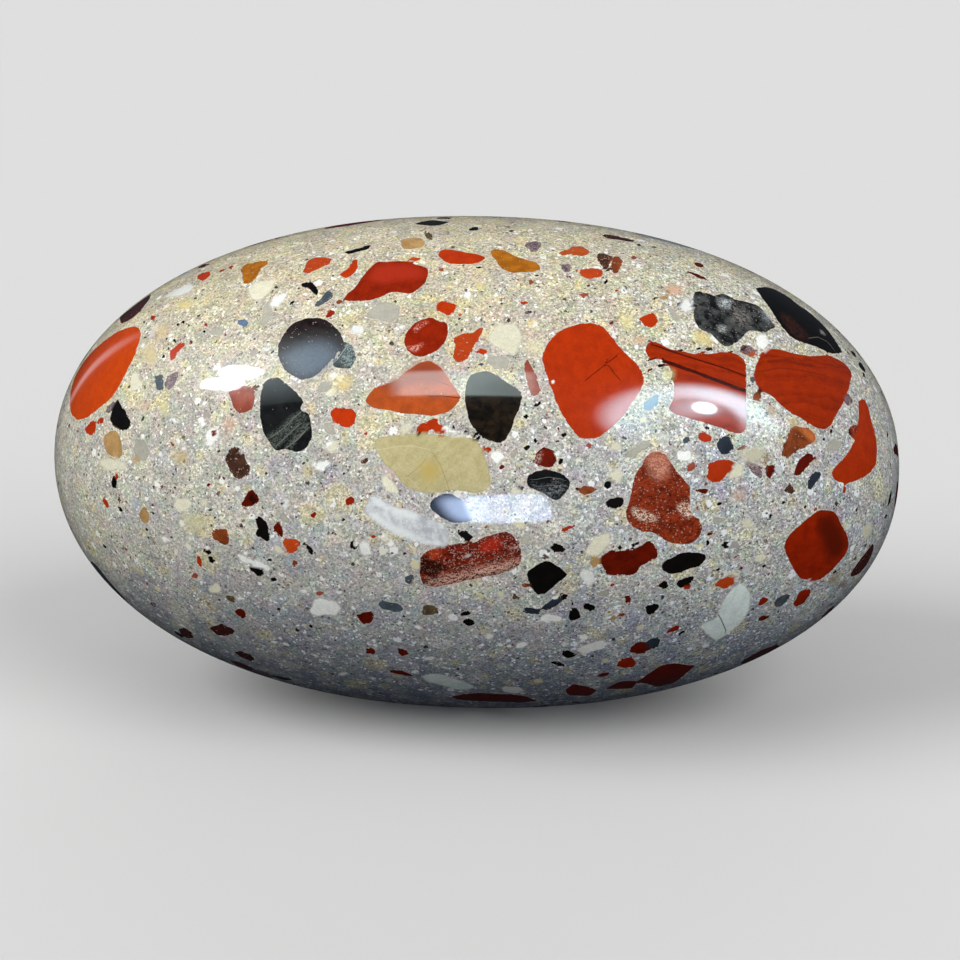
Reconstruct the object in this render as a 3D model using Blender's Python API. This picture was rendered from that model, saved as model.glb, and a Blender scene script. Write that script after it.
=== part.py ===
"""A large polished stone of conglomerate jasper: one solid, a full, hand-ground ellipsoid lying on its side.

The long axis runs along X and the stone stands on a small ground flat at the origin. Sizes are in metres, +Z up.
"""

import math

import bmesh
import bpy
from mathutils import Vector

# Driving sizes of the finished stone
LENGTH = 0.150
DEPTH = 0.0915
HEIGHT = 0.0870

# Exponent of the outline along the stone: 2 is a true ellipse, and more is fuller towards the ends.
# Across the stone its section is a plain ellipse
FULLNESS = 2.157

# How much is ground off the underside, which leaves the oval that the stone stands on
REST_GRIND = 0.0005

# Each fineness step parts every triangle into four
FINENESS = 5

# Edges shorter than this are closed up round the ground flat
SHORTEST_EDGE = 0.0002

# Shallow flats left by grinding on a wheel by hand. Each has the direction of its middle on a unit sphere,
# how far it reaches from there in degrees, and its depth as a share of the stone's radius
HAND_FLATS = [
    {"toward": (-0.80, -0.45, -0.40), "reach": 26.0, "depth": 0.0060},
    {"toward": (0.78, -0.35, 0.52), "reach": 24.0, "depth": 0.0055},
    {"toward": (0.10, -0.80, -0.60), "reach": 30.0, "depth": 0.0060},
    {"toward": (-0.35, -0.75, 0.56), "reach": 28.0, "depth": 0.0045},
    {"toward": (0.45, 0.80, 0.40), "reach": 30.0, "depth": 0.0065},
    {"toward": (-0.60, 0.75, -0.28), "reach": 27.0, "depth": 0.0060},
]

# Finish: the mean colour of the sandy ground mass, with a high polish
STONE_COLOUR = (0.46, 0.41, 0.35, 1.0)
STONE_ROUGHNESS = 0.12


def ground_share(direction):
    """How much of the radius the hand-ground flats leave, in a direction on the unit sphere."""
    share = 1.0
    for flat in HAND_FLATS:
        away = direction.angle(Vector(flat["toward"]))
        share -= flat["depth"] * math.exp(-((away / math.radians(flat["reach"])) ** 2))
    return share


def on_stone(direction):
    """The point of the stone's surface, about its middle, for a direction on the unit sphere."""
    across = math.hypot(direction.y, direction.z)
    full = (abs(direction.x) ** FULLNESS + across**FULLNESS) ** (-1.0 / FULLNESS)
    reach = full * ground_share(direction)
    return Vector(
        (
            direction.x * reach * LENGTH / 2,
            direction.y * reach * DEPTH / 2,
            direction.z * reach * HEIGHT / 2,
        )
    )


def shape_stone(bm):
    """A fine icosphere drawn out to the stone's form, with the resting flat ground on its underside."""
    bmesh.ops.create_icosphere(bm, subdivisions=FINENESS, radius=1.0)
    for vertex in bm.verts:
        vertex.co = on_stone(vertex.co.normalized())

    lowest = min(vertex.co.z for vertex in bm.verts)
    cut = bmesh.ops.bisect_plane(
        bm,
        geom=bm.verts[:] + bm.edges[:] + bm.faces[:],
        plane_co=(0.0, 0.0, lowest + REST_GRIND),
        plane_no=(0.0, 0.0, 1.0),
        clear_inner=True,
    )
    rim = [item for item in cut["geom_cut"] if isinstance(item, bmesh.types.BMEdge)]
    bmesh.ops.edgeloop_fill(bm, edges=rim)
    bmesh.ops.remove_doubles(bm, verts=bm.verts[:], dist=SHORTEST_EDGE)
    bmesh.ops.recalc_face_normals(bm, faces=bm.faces[:])


def stand_on_origin(bm):
    """Moves the stone so that the middle of its underside's level is at the origin."""
    low = Vector(min(vertex.co[axis] for vertex in bm.verts) for axis in range(3))
    high = Vector(max(vertex.co[axis] for vertex in bm.verts) for axis in range(3))
    middle = (low + high) / 2
    bmesh.ops.translate(bm, verts=bm.verts[:], vec=(-middle.x, -middle.y, -low.z))


def polished_stone():
    """The stone's material."""
    material = bpy.data.materials.new("polished_conglomerate")
    material.use_nodes = True
    shader = material.node_tree.nodes["Principled BSDF"]
    shader.inputs["Base Color"].default_value = STONE_COLOUR
    shader.inputs["Roughness"].default_value = STONE_ROUGHNESS
    shader.inputs["Metallic"].default_value = 0.0
    return material


def build_stone(collection):
    """The one piece: the stone."""
    bm = bmesh.new()
    shape_stone(bm)
    stand_on_origin(bm)
    mesh = bpy.data.meshes.new("stone")
    bm.to_mesh(mesh)
    bm.free()
    mesh.shade_smooth()
    mesh.materials.append(polished_stone())
    stone = bpy.data.objects.new("stone", mesh)
    collection.objects.link(stone)


def main():
    for old in list(bpy.data.objects):
        bpy.data.objects.remove(old)
    collection = bpy.data.collections.new("jasper_stone")
    bpy.context.scene.collection.children.link(collection)
    build_stone(collection)


main()
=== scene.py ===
import math

import bpy
import numpy as np
from mathutils import Matrix, Vector


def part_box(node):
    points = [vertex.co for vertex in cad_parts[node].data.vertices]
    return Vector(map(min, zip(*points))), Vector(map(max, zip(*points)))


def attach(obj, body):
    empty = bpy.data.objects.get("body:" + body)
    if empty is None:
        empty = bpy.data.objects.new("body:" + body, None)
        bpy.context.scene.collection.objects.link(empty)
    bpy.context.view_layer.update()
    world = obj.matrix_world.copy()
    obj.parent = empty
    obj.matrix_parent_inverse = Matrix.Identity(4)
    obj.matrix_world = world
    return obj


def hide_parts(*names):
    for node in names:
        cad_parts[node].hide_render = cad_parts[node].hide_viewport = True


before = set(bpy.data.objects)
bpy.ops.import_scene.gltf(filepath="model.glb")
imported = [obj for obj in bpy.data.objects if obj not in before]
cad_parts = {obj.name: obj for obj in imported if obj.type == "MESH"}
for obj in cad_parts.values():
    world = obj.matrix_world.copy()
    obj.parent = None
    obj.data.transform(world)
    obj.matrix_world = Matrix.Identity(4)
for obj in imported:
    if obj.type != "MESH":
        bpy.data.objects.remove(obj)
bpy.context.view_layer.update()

lowCorner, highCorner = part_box("stone")
mm = 0.001
print("frame loaded")


# One wire of a node tree. A sum on it puts Math nodes in the tree
class Wire:
    def __init__(self, board, socket):
        self.board, self.socket = board, socket

    def maths(self, operation, *values):
        return self.board.put("ShaderNodeMath", {"operation": operation}, dict(enumerate(values)))

    def __add__(self, other):
        return self.maths("ADD", self, other)

    def __radd__(self, other):
        return self.maths("ADD", other, self)

    def __sub__(self, other):
        return self.maths("SUBTRACT", self, other)

    def __rsub__(self, other):
        return self.maths("SUBTRACT", other, self)

    def __mul__(self, other):
        return self.maths("MULTIPLY", self, other)

    def __rmul__(self, other):
        return self.maths("MULTIPLY", other, self)

    def __truediv__(self, other):
        return self.maths("DIVIDE", self, other)

    def __pow__(self, other):
        return self.maths("POWER", self, other)

    def __abs__(self):
        return self.maths("ABSOLUTE", self)

    def __lt__(self, other):
        return self.maths("LESS_THAN", self, other)

    # 0 at low, 1 at high, eased between them
    def rise(self, low, high):
        return self.board.put("ShaderNodeMapRange", {"interpolation_type": "SMOOTHSTEP"},
                              {"Value": self, "From Min": low, "From Max": high})


# A node tree being filled
class Board:
    def __init__(self, tree):
        self.tree = tree
        tree.nodes.clear()

    # One node of any kind: its settings first, then what its sockets hold
    def node(self, kind, settings=None, sockets=None):
        node = self.tree.nodes.new(kind)
        for name, value in (settings or {}).items():
            if name == "stops":
                while len(node.color_ramp.elements) < len(value):
                    node.color_ramp.elements.new(1.0)
                for element, (place, colour) in zip(node.color_ramp.elements, value):
                    element.position, element.color = place, (*colour, 1.0)
            elif name == "between":
                node.color_ramp.interpolation = value
            else:
                setattr(node, name, value)
        for name, value in (sockets or {}).items():
            if isinstance(value, Wire):
                self.tree.links.new(value.socket, node.inputs[name])
            else:
                node.inputs[name].default_value = value
        return node

    # The same, giving back one output, or several
    def put(self, kind, settings=None, sockets=None, out=0):
        node = self.node(kind, settings, sockets)
        if isinstance(out, tuple):
            return [Wire(self, node.outputs[name]) for name in out]
        return Wire(self, node.outputs[out])

    def mix(self, share, first, second, blend="MIX"):
        first, second = (c if isinstance(c, Wire) else (*c, 1.0) for c in (first, second))
        return self.put("ShaderNodeMix", {"data_type": "RGBA", "blend_type": blend},
                        {0: share, 6: first, 7: second}, out=2)

    def ramp(self, share, stops, between="LINEAR"):
        return self.put("ShaderNodeValToRGB", {"between": between, "stops": stops}, {0: share})

    def vector(self, operation, *values, out=0):
        return self.put("ShaderNodeVectorMath", {"operation": operation}, dict(enumerate(values)), out=out)

    def scaled(self, vector, factor):
        return self.put("ShaderNodeVectorMath", {"operation": "SCALE"}, {0: vector, "Scale": factor})

    def apart(self, vector):
        return self.put("ShaderNodeSeparateXYZ", None, {0: vector}, out=(0, 1, 2))

    def joined(self, x, y, z):
        return self.put("ShaderNodeCombineXYZ", None, {0: x, 1: y, 2: z})

    def noise(self, place, scale, detail=2.0, rough=0.5, out=0):
        return self.put("ShaderNodeTexNoise", None,
                        {"Vector": place, "Scale": scale, "Detail": detail, "Roughness": rough}, out=out)

    def cells(self, place, size, out="Color"):
        return self.put("ShaderNodeTexVoronoi", None, {"Vector": place, "Scale": 1 / size}, out=out)

    def read(self, name, out="Fac"):
        return self.put("ShaderNodeAttribute", {"attribute_name": name}, None, out=out)


# A colour as a screen shows it, from 0 to 255, as the light that a shader works with
def light(red, green, blue):
    shown = [value / 255 for value in (red, green, blue)]
    return tuple(c / 12.92 if c <= 0.04 else ((c + 0.055) / 1.055) ** 2.4 for c in shown)


# The way from the stone to what stands off to the right by azimuth and up by elevation, in degrees
def wayTo(azimuth, elevation):
    turn, lift = math.radians(azimuth), math.radians(elevation)
    return Vector((math.sin(turn) * math.cos(lift), -math.cos(turn) * math.cos(lift), math.sin(lift)))


def addObject(name, data):
    made = bpy.data.objects.new(name, data)
    bpy.context.scene.collection.objects.link(made)
    return made


# Hangs a camera or a lamp at a place, with its back to a way
def hang(name, data, place, back):
    hung = addObject(name, data)
    hung.matrix_world = Matrix.LocRotScale(place, back.to_track_quat("Z", "Y"), None)
    return hung


# The camera stands where the photo was taken from
cameraFacts = {
    "azimuth": 4.65,  # degrees towards the stone's right end
    "elevation": 16.0,
    "distance": 0.419,
    "lens": 88.0,
    "sensor": 36.0,
    "clip": (0.01, 60.0),
    "aim": (0.0, 0.0, 0.043),
    "aimRight": 0.0011,
    "aimUp": -0.0033,
    "picture": 960,  # pixels along a side
}


def placeCamera(facts):
    back = wayTo(facts["azimuth"], facts["elevation"])
    right = Vector((0, 0, 1)).cross(back).normalized()
    up = back.cross(right)
    eye = Vector(facts["aim"]) + right * facts["aimRight"] + up * facts["aimUp"] + back * facts["distance"]
    data = bpy.data.cameras.new("photoCamera")
    data.lens, data.sensor_width = facts["lens"], facts["sensor"]
    data.clip_start, data.clip_end = facts["clip"]
    bpy.context.scene.camera = hang("photoCamera", data, eye, back)
    return {"eye": eye, "right": right, "up": up, "back": back,
            "focal": facts["lens"] / facts["sensor"] * facts["picture"], "middle": facts["picture"] / 2}


lookout = placeCamera(cameraFacts)
print("camera placed")

# The stone's form is the CAD solid's, with a finer skin that is closest where the camera looks
skinFacts = {
    "fullness": 2.157,
    "halfSizes": (0.0750, 0.04575, 0.0435),
    "pointsLong": 176,
    "pointsAcross": 104,
    "crowding": -0.2,  # draws the skin's points towards the camera's side
    "flats": [  # shallow flats ground by hand: the way to each, its reach in degrees and its depth as a share
        {"toward": (-0.80, -0.45, -0.40), "reach": 26.0, "depth": 0.0060},
        {"toward": (0.78, -0.35, 0.52), "reach": 24.0, "depth": 0.0055},
        {"toward": (0.10, -0.80, -0.60), "reach": 30.0, "depth": 0.0060},
        {"toward": (-0.35, -0.75, 0.56), "reach": 28.0, "depth": 0.0045},
        {"toward": (0.45, 0.80, 0.40), "reach": 30.0, "depth": 0.0065},
        {"toward": (-0.60, 0.75, -0.28), "reach": 27.0, "depth": 0.0060},
    ],
}


# The tree that makes the skin. Its inputs are rows of a name, a kind and a value
def skinTree(facts, rows):
    tree = bpy.data.node_groups.new("stoneSkin", "GeometryNodeTree")
    inputs = {}
    for name, kind, _ in rows:
        socket = tree.interface.new_socket(name, in_out="INPUT", socket_type="NodeSocket" + kind)
        inputs[name] = socket.identifier
    tree.interface.new_socket("Geometry", in_out="OUTPUT", socket_type="NodeSocketGeometry")
    board = Board(tree)
    given = board.node("NodeGroupInput")
    wire = {name: Wire(board, given.outputs[name]) for name in inputs}

    # A cube's points, evened out and drawn onto a unit ball
    cube = board.put("GeometryNodeMeshCube", None, {
        "Size": (2.0, 2.0, 2.0), "Vertices X": wire["Points Long"],
        "Vertices Y": wire["Points Across"], "Vertices Z": wire["Points Across"]})
    quarter = board.scaled(board.put("GeometryNodeInputPosition"), math.pi / 4)
    x, y, z = board.apart(board.vector("NORMALIZE", board.vector("TANGENT", quarter)))
    crowd = wire["Crowding"]
    thin = (1 - crowd * crowd) ** 0.5
    share = 1 + crowd * y
    x, y, z = x * thin / share, (y + crowd) / share, z * thin / share
    toward = board.joined(x, y, z)

    # Drawn out to the stone's form, less what the flats take off
    left = 1.0
    for flat in facts["flats"]:
        middle = tuple(Vector(flat["toward"]).normalized())
        away = board.vector("DOT_PRODUCT", toward, middle, out="Value")
        turn = away.maths("ARCCOSINE", away) / math.radians(flat["reach"])
        left = left - flat["depth"] * turn.maths("EXPONENT", 0 - turn * turn)
    across = (y * y + z * z) ** 0.5
    full = (abs(x) ** wire["Fullness"] + across ** wire["Fullness"]) ** (0 - 1 / facts["fullness"])
    place = board.vector("MULTIPLY", board.scaled(toward, full * left), wire["Half Sizes"])
    skin = board.put("GeometryNodeSetPosition", None, {"Geometry": cube, "Position": place})
    skin = board.put("GeometryNodeSetShadeSmooth", None, {"Geometry": skin})
    skin = board.put("GeometryNodeRealizeInstances", None, {"Geometry": skin})
    skin = board.put("GeometryNodeSetMaterial", None, {"Geometry": skin, "Material": wire["Finish"]})
    board.node("NodeGroupOutput", None, {0: skin})
    return tree, inputs


def makeSkin(facts, finish):
    rows = [("Fullness", "Float", facts["fullness"]), ("Crowding", "Float", facts["crowding"]),
            ("Half Sizes", "Vector", facts["halfSizes"]), ("Points Long", "Int", facts["pointsLong"]),
            ("Points Across", "Int", facts["pointsAcross"]), ("Finish", "Material", finish)]
    tree, inputs = skinTree(facts, rows)
    maker = addObject("skinMaker", bpy.data.meshes.new("skinMaker"))
    modifier = maker.modifiers.new("skin", "NODES")
    modifier.node_group = tree
    for name, _, value in rows:
        modifier[inputs[name]] = value
    seen = maker.evaluated_get(bpy.context.evaluated_depsgraph_get())
    mesh = bpy.data.meshes.new_from_object(seen)
    mesh.name = "polishedStone"
    bpy.data.objects.remove(maker)

    # Stood where the CAD solid stands, and ground flat where it rests
    spots = np.zeros(len(mesh.vertices) * 3, np.float32)
    mesh.vertices.foreach_get("co", spots)
    spots = spots.reshape(-1, 3)
    spots[:, :2] -= (spots.min(0) + spots.max(0))[:2] / 2
    spots[:, 2] += highCorner.z - spots[:, 2].max()
    spots[:, 2] = np.maximum(spots[:, 2], lowCorner.z)
    mesh.vertices.foreach_set("co", spots.ravel())
    mesh.update()
    return addObject("polishedStone", mesh)


# What each kind of pebble looks like: its colour, a second colour, how much of that shows as mottling and as
# bands, how many pale grains it holds, how common it is, and the slope of its bands in the photo, in degrees
kindColumns = ("tone", "second", "mottle", "bands", "grains", "share", "bandTilt")
kinds = {name: dict(zip(kindColumns, row)) for name, row in {
    "red": ((190, 55, 9), (146, 36, 7), 0.35, 0.1, 0.0, 20),
    "orangeRed": ((206, 72, 8), (178, 50, 7), 0.3, 0.05, 0.0, 3),
    "banded": ((176, 50, 7), (124, 32, 7), 0.3, 0.4, 0.0, 8, -14),
    "deepRed": ((154, 37, 5), (108, 21, 4), 0.45, 0.15, 0.0, 10),
    "darkRed": ((108, 23, 5), (62, 12, 4), 0.5, 0.15, 0.0, 8),
    "lightRed": ((192, 72, 26), (168, 48, 18), 0.4, 0.1, 0.01, 5),
    "pinkRed": ((166, 84, 62), (128, 52, 40), 0.5, 0.2, 0.01, 3),
    "orange": ((196, 88, 34), (150, 66, 32), 0.45, 0.15, 0.003, 6),
    "rust": ((146, 72, 34), (98, 44, 22), 0.8, 0.1, 0.01, 3),
    "ochre": ((184, 114, 28), (140, 76, 14), 0.6, 0.2, 0.01, 2),
    "amber": ((190, 152, 98), (164, 128, 80), 0.9, 0.0, 0.01, 2),
    "brown": ((88, 58, 43), (54, 34, 25), 0.8, 0.15, 0.05, 3),
    "olive": ((104, 88, 60), (62, 52, 38), 0.8, 0.0, 0.02, 1),
    "maroon": ((76, 34, 30), (52, 20, 18), 0.6, 0.2, 0.02, 3),
    "plum": ((44, 31, 32), (22, 16, 18), 0.7, 0.55, 0.02, 2),
    "black": ((12, 11, 10), (28, 22, 18), 0.4, 0.0, 0.0, 9),
    "brownBlack": ((14, 12, 9), (56, 42, 28), 0.58, 0.1, 0.0, 3),
    "flecked": ((12, 13, 13), (34, 36, 36), 0.5, 0.2, 0.004, 2),
    "blueBlack": ((48, 56, 68), (30, 34, 42), 0.6, 0.0, 0.0, 3),
    "slate": ((82, 94, 102), (56, 64, 70), 0.6, 0.1, 0.02, 4),
    "blueGrey": ((104, 128, 152), (78, 98, 124), 0.6, 0.0, 0.0, 2),
    "storm": ((18, 20, 21), (92, 96, 94), 0.8, 0.0, 0.03, 2),
    "mauve": ((146, 128, 134), (108, 92, 98), 0.7, 0.1, 0.15, 3),
    "tan": ((193, 183, 138), (172, 161, 113), 0.55, 0.25, 0.01, 3),
    "cream": ((232, 229, 204), (214, 210, 182), 0.4, 0.0, 0.0, 8),
    "white": ((248, 249, 243), (226, 229, 224), 0.4, 0.0, 0.0, 5),
    "greyGreen": ((238, 249, 244), (212, 226, 220), 0.6, 0.2, 0.0, 2),
    "quartz": ((221, 225, 225), (176, 179, 184), 0.7, 0.3, 0.0, 3),
    "glassy": ((184, 181, 166), (162, 160, 148), 0.5, 0.0, 0.0, 4),
    "gritty": ((156, 60, 30), (104, 32, 16), 0.8, 0.0, 0.07, 6),
    "streaked": ((146, 46, 26), (60, 20, 14), 0.4, 0.6, 0.2, 2, 12),
}.items()}

# The pebbles on the photo's side, by kind. An outline is where a pebble's corners are in the photo, in pixels
seenPebbles = {
    "orangeRed": [
        [(70, 400), (70, 409), (72, 415), (77, 420), (84, 419), (91, 415), (107, 402), (113, 396),
         (120, 385), (128, 369), (135, 355), (139, 343), (141, 334), (139, 328), (135, 326), (127, 328),
         (117, 332), (104, 341), (91, 353), (82, 364), (75, 377), (71, 390)],
    ],
    "red": [
        [(542, 359), (544, 350), (549, 341), (558, 332), (568, 327), (579, 324), (590, 323), (603, 326),
         (609, 333), (618, 345), (627, 355), (636, 363), (642, 372), (644, 381), (643, 385), (636, 398),
         (631, 404), (624, 416), (613, 426), (604, 434), (597, 438), (590, 439), (580, 438), (576, 435),
         (569, 425), (561, 412), (555, 400), (554, 394), (549, 383), (545, 370)],
        [(858, 401), (862, 399), (865, 400), (868, 406), (871, 420), (875, 433), (877, 446), (877, 452),
         (876, 465), (868, 475), (855, 481), (845, 484), (836, 481), (831, 475), (832, 470), (843, 459),
         (850, 450), (855, 440), (857, 430), (859, 415)],
        [(89, 423), (95, 419), (96, 427), (94, 434), (89, 435), (85, 432), (84, 429)],
        [(97, 420), (101, 417), (104, 419), (103, 423), (98, 425)],
        [(338, 276), (342, 272), (348, 269), (351, 262), (356, 260), (357, 268), (355, 273), (349, 278),
         (343, 279)],
        [(438, 256), (439, 252), (444, 249), (454, 250), (464, 252), (476, 254), (483, 256), (486, 258),
         (482, 261), (474, 264), (461, 264), (450, 264), (444, 261)],
        [(435, 309), (438, 304), (440, 301), (449, 302), (456, 304), (457, 308), (453, 313), (447, 316),
         (442, 313)],
        [(475, 352), (479, 349), (485, 350), (487, 353), (483, 356), (478, 354)],
        [(331, 411), (334, 408), (342, 408), (352, 409), (357, 414), (356, 420), (354, 425), (348, 427),
         (340, 425), (333, 420), (331, 416)],
        [(415, 428), (419, 424), (428, 421), (431, 418), (437, 417), (438, 422), (444, 425), (444, 431),
         (442, 434), (436, 431), (431, 428), (426, 432), (419, 433)],
        [(638, 319), (644, 316), (650, 312), (656, 315), (658, 321), (656, 325), (649, 328), (644, 326),
         (641, 321)],
        [(697, 434), (702, 431), (707, 433), (712, 438), (711, 441), (706, 443), (699, 439)],
        [(708, 463), (718, 460), (733, 460), (735, 462), (733, 468), (725, 476), (720, 483), (712, 482),
         (706, 478), (708, 469)],
        [(171, 351), (176, 347), (181, 343), (186, 342), (187, 345), (182, 349), (178, 353), (178, 357),
         (173, 361), (171, 356)],
        [(520, 304), (522, 301), (529, 304), (524, 307)],
        [(197, 277), (199, 274), (210, 271), (211, 275), (203, 282), (198, 279)],
        [(229, 268), (231, 265), (235, 264), (234, 268)],
        [(102, 498), (105, 497), (110, 506), (109, 509), (104, 505)],
        [(116, 473), (121, 473), (121, 475), (118, 479), (116, 475)],
        [(365, 437), (363, 435), (369, 429), (368, 436)],
    ],
    "banded": [
        [(645, 350), (648, 343), (650, 341), (657, 342), (662, 345), (672, 350), (683, 352), (695, 354),
         (711, 354), (721, 352), (731, 352), (740, 356), (745, 361), (746, 372), (746, 397), (747, 426),
         (745, 431), (740, 434), (731, 432), (718, 427), (703, 422), (689, 418), (675, 414), (668, 409),
         (672, 401), (674, 395), (674, 382), (672, 372), (668, 365), (663, 361), (658, 358), (654, 360),
         (650, 359), (647, 354)],
        [(754, 374), (755, 368), (759, 359), (762, 352), (768, 349), (777, 349), (785, 351), (796, 354),
         (809, 356), (819, 356), (827, 355), (835, 358), (843, 362), (849, 368), (852, 373), (851, 379),
         (848, 391), (843, 403), (835, 417), (831, 426), (825, 429), (816, 428), (808, 423), (801, 418),
         (791, 413), (782, 406), (773, 397), (764, 392), (758, 387), (755, 381)],
    ],
    "deepRed": [
        [(346, 499), (350, 495), (355, 498), (355, 503), (351, 505), (347, 505)],
        [(312, 513), (315, 512), (318, 513), (318, 517), (315, 519), (312, 518)],
        [(343, 299), (348, 293), (356, 287), (362, 277), (370, 268), (378, 261), (385, 262), (396, 261),
         (408, 261), (416, 265), (422, 266), (428, 269), (428, 275), (426, 282), (420, 288), (413, 293),
         (408, 294), (398, 292), (390, 292), (381, 297), (371, 300), (358, 301), (348, 301)],
        [(784, 547), (785, 541), (791, 533), (801, 524), (812, 515), (819, 510), (830, 510), (836, 513),
         (840, 522), (846, 533), (849, 543), (848, 550), (843, 558), (832, 570), (822, 579), (812, 581),
         (801, 579), (795, 572), (790, 562), (786, 554)],
        [(793, 606), (795, 600), (800, 591), (807, 589), (811, 590), (810, 595), (804, 603), (796, 607)],
        [(758, 599), (766, 597), (769, 600), (764, 604), (759, 606)],
        [(325, 316), (328, 311), (333, 310), (337, 311), (334, 315), (329, 317)],
        [(404, 344), (405, 335), (413, 324), (421, 320), (430, 317), (436, 319), (440, 323), (443, 321),
         (447, 323), (448, 332), (447, 338), (443, 345), (436, 351), (428, 355), (420, 357), (414, 356),
         (408, 351)],
    ],
    "darkRed": [
        [(533, 462), (536, 454), (540, 450), (545, 447), (551, 449), (555, 454), (556, 462), (553, 467),
         (546, 468), (541, 466), (536, 465)],
        [(600, 560), (602, 555), (612, 550), (617, 552), (625, 550), (635, 549), (643, 545), (644, 541),
         (650, 541), (656, 546), (658, 557), (650, 561), (640, 566), (638, 569), (636, 575), (608, 575),
         (604, 569)],
        [(793, 475), (796, 466), (801, 458), (808, 451), (812, 454), (816, 458), (813, 461), (808, 465),
         (803, 472), (799, 477)],
        [(241, 503), (245, 497), (249, 491), (252, 489), (256, 493), (260, 500), (256, 504), (251, 506),
         (242, 507)],
        [(274, 526), (276, 522), (280, 522), (282, 527), (284, 534), (283, 538), (280, 537), (274, 530)],
        [(757, 621), (760, 616), (772, 615), (764, 621)],
        [(695, 490), (700, 488), (708, 487), (706, 493), (700, 493)],
        [(761, 465), (769, 464), (777, 466), (774, 474), (771, 480), (768, 475), (767, 468)],
        [(53, 448), (55, 448), (56, 470), (57, 490), (55, 488), (53, 470)],
        [(893, 447), (896, 443), (898, 449), (898, 457), (894, 454)],
        [(886, 432), (888, 431), (888, 438), (886, 438)],
    ],
    "lightRed": [
        [(578, 272), (582, 269), (590, 268), (600, 269), (604, 273), (600, 277), (591, 279), (583, 277)],
        [(302, 272), (305, 266), (308, 260), (317, 257), (331, 258), (332, 260), (330, 264), (320, 268),
         (312, 272), (305, 274)],
        [(454, 340), (456, 336), (464, 333), (473, 333), (479, 327), (483, 328), (483, 333), (478, 340),
         (473, 347), (470, 355), (467, 360), (459, 362), (454, 360), (453, 355), (455, 347)],
        [(282, 541), (284, 539), (292, 538), (297, 540), (300, 544), (298, 549), (294, 552), (289, 553),
         (285, 549)],
    ],
    "pinkRed": [
        # A red sliver, given this pinker tone partly as a painted sheen
        [(524, 364), (527, 359), (529, 362), (535, 373), (541, 390), (538, 395), (533, 397), (529, 392),
         (526, 378)],
        [(228, 391), (237, 388), (243, 386), (249, 386), (255, 393), (254, 405), (252, 410), (246, 412),
         (240, 414), (234, 409), (231, 400), (230, 396)],
        [(688, 466), (693, 462), (695, 460), (696, 467), (694, 470), (689, 471)],
        [(579, 295), (580, 292), (589, 293), (588, 296), (583, 299)],
    ],
    "orange": [
        [(365, 400), (369, 394), (374, 388), (387, 384), (397, 380), (400, 377), (408, 370), (417, 364),
         (426, 361), (433, 362), (441, 368), (449, 379), (455, 388), (461, 397), (456, 405), (450, 411),
         (442, 414), (431, 416), (413, 414), (400, 413), (387, 410), (374, 408), (367, 404)],
        [(559, 254), (561, 251), (569, 249), (572, 246), (581, 246), (587, 249), (591, 252), (585, 256),
         (577, 256), (570, 254), (564, 256)],
        [(458, 314), (460, 313), (464, 316), (461, 318)],
    ],
    "rust": [
        [(781, 455), (782, 449), (787, 438), (791, 427), (798, 426), (808, 428), (816, 436), (816, 440),
         (812, 444), (800, 449), (791, 456), (785, 458)],
        [(613, 256), (618, 256), (622, 260), (622, 266), (618, 272), (615, 275), (612, 273), (611, 263)],
        [(212, 532), (217, 529), (227, 529), (228, 536), (229, 542), (225, 545), (219, 542), (213, 538)],
        [(528, 281), (531, 279), (534, 282), (532, 285), (529, 284)],
    ],
    "ochre": [
        [(490, 252), (491, 250), (497, 249), (506, 251), (515, 256), (526, 260), (536, 262), (540, 266),
         (540, 270), (533, 272), (522, 272), (515, 273), (508, 272), (501, 268), (496, 261), (492, 256)],
        [(241, 268), (248, 263), (253, 263), (260, 261), (268, 261), (268, 265), (261, 268), (257, 277),
         (251, 283), (246, 284), (243, 282), (242, 274)],
    ],
    "amber": [
        [(400, 240), (410, 238), (421, 238), (425, 242), (423, 247), (412, 249), (403, 249)],
        [(104, 436), (109, 432), (114, 430), (117, 432), (120, 436), (122, 447), (122, 457), (116, 458),
         (109, 455), (105, 448), (103, 441)],
        [(141, 509), (146, 507), (149, 514), (149, 524), (143, 523), (139, 516)],
    ],
    "brown": [
        [(228, 452), (232, 447), (237, 447), (241, 449), (244, 454), (246, 462), (251, 468), (250, 473),
         (248, 475), (244, 476), (242, 480), (239, 480), (234, 476), (230, 470), (226, 463), (225, 458)],
        [(596, 256), (598, 253), (606, 254), (611, 256), (609, 265), (608, 272), (604, 270), (599, 263)],
        [(784, 491), (787, 485), (790, 483), (796, 493), (790, 494)],
        [(359, 463), (369, 458), (371, 461), (365, 464)],
    ],
    "olive": [
        [(425, 232), (428, 231), (432, 234), (434, 240), (431, 241), (426, 238)],
    ],
    "maroon": [
        [(119, 317), (130, 309), (139, 302), (146, 297), (151, 294), (150, 299), (140, 312), (130, 320),
         (121, 324)],
        [(873, 543), (874, 548), (868, 563), (859, 574), (851, 577), (850, 574), (858, 562), (866, 552)],
        [(601, 234), (612, 235), (625, 238), (637, 241), (632, 242), (618, 240), (605, 238)],
    ],
    "plum": [
        [(308, 318), (320, 318), (330, 322), (339, 331), (344, 341), (342, 347), (335, 356), (326, 366),
         (315, 377), (303, 380), (292, 376), (283, 368), (278, 356), (278, 345), (284, 333), (293, 323)],
    ],
    "black": [
        [(541, 562), (549, 561), (559, 567), (568, 575), (559, 582), (545, 594), (538, 595), (533, 591),
         (526, 574), (529, 570)],
        [(755, 288), (764, 287), (772, 288), (780, 292), (789, 297), (798, 305), (808, 311), (817, 319),
         (827, 329), (835, 340), (843, 353), (835, 354), (827, 352), (817, 347), (808, 344), (795, 340),
         (789, 335), (782, 327), (776, 318), (768, 306), (760, 295)],
        [(118, 399), (122, 406), (127, 415), (131, 420), (130, 428), (124, 431), (116, 428), (110, 421),
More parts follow.
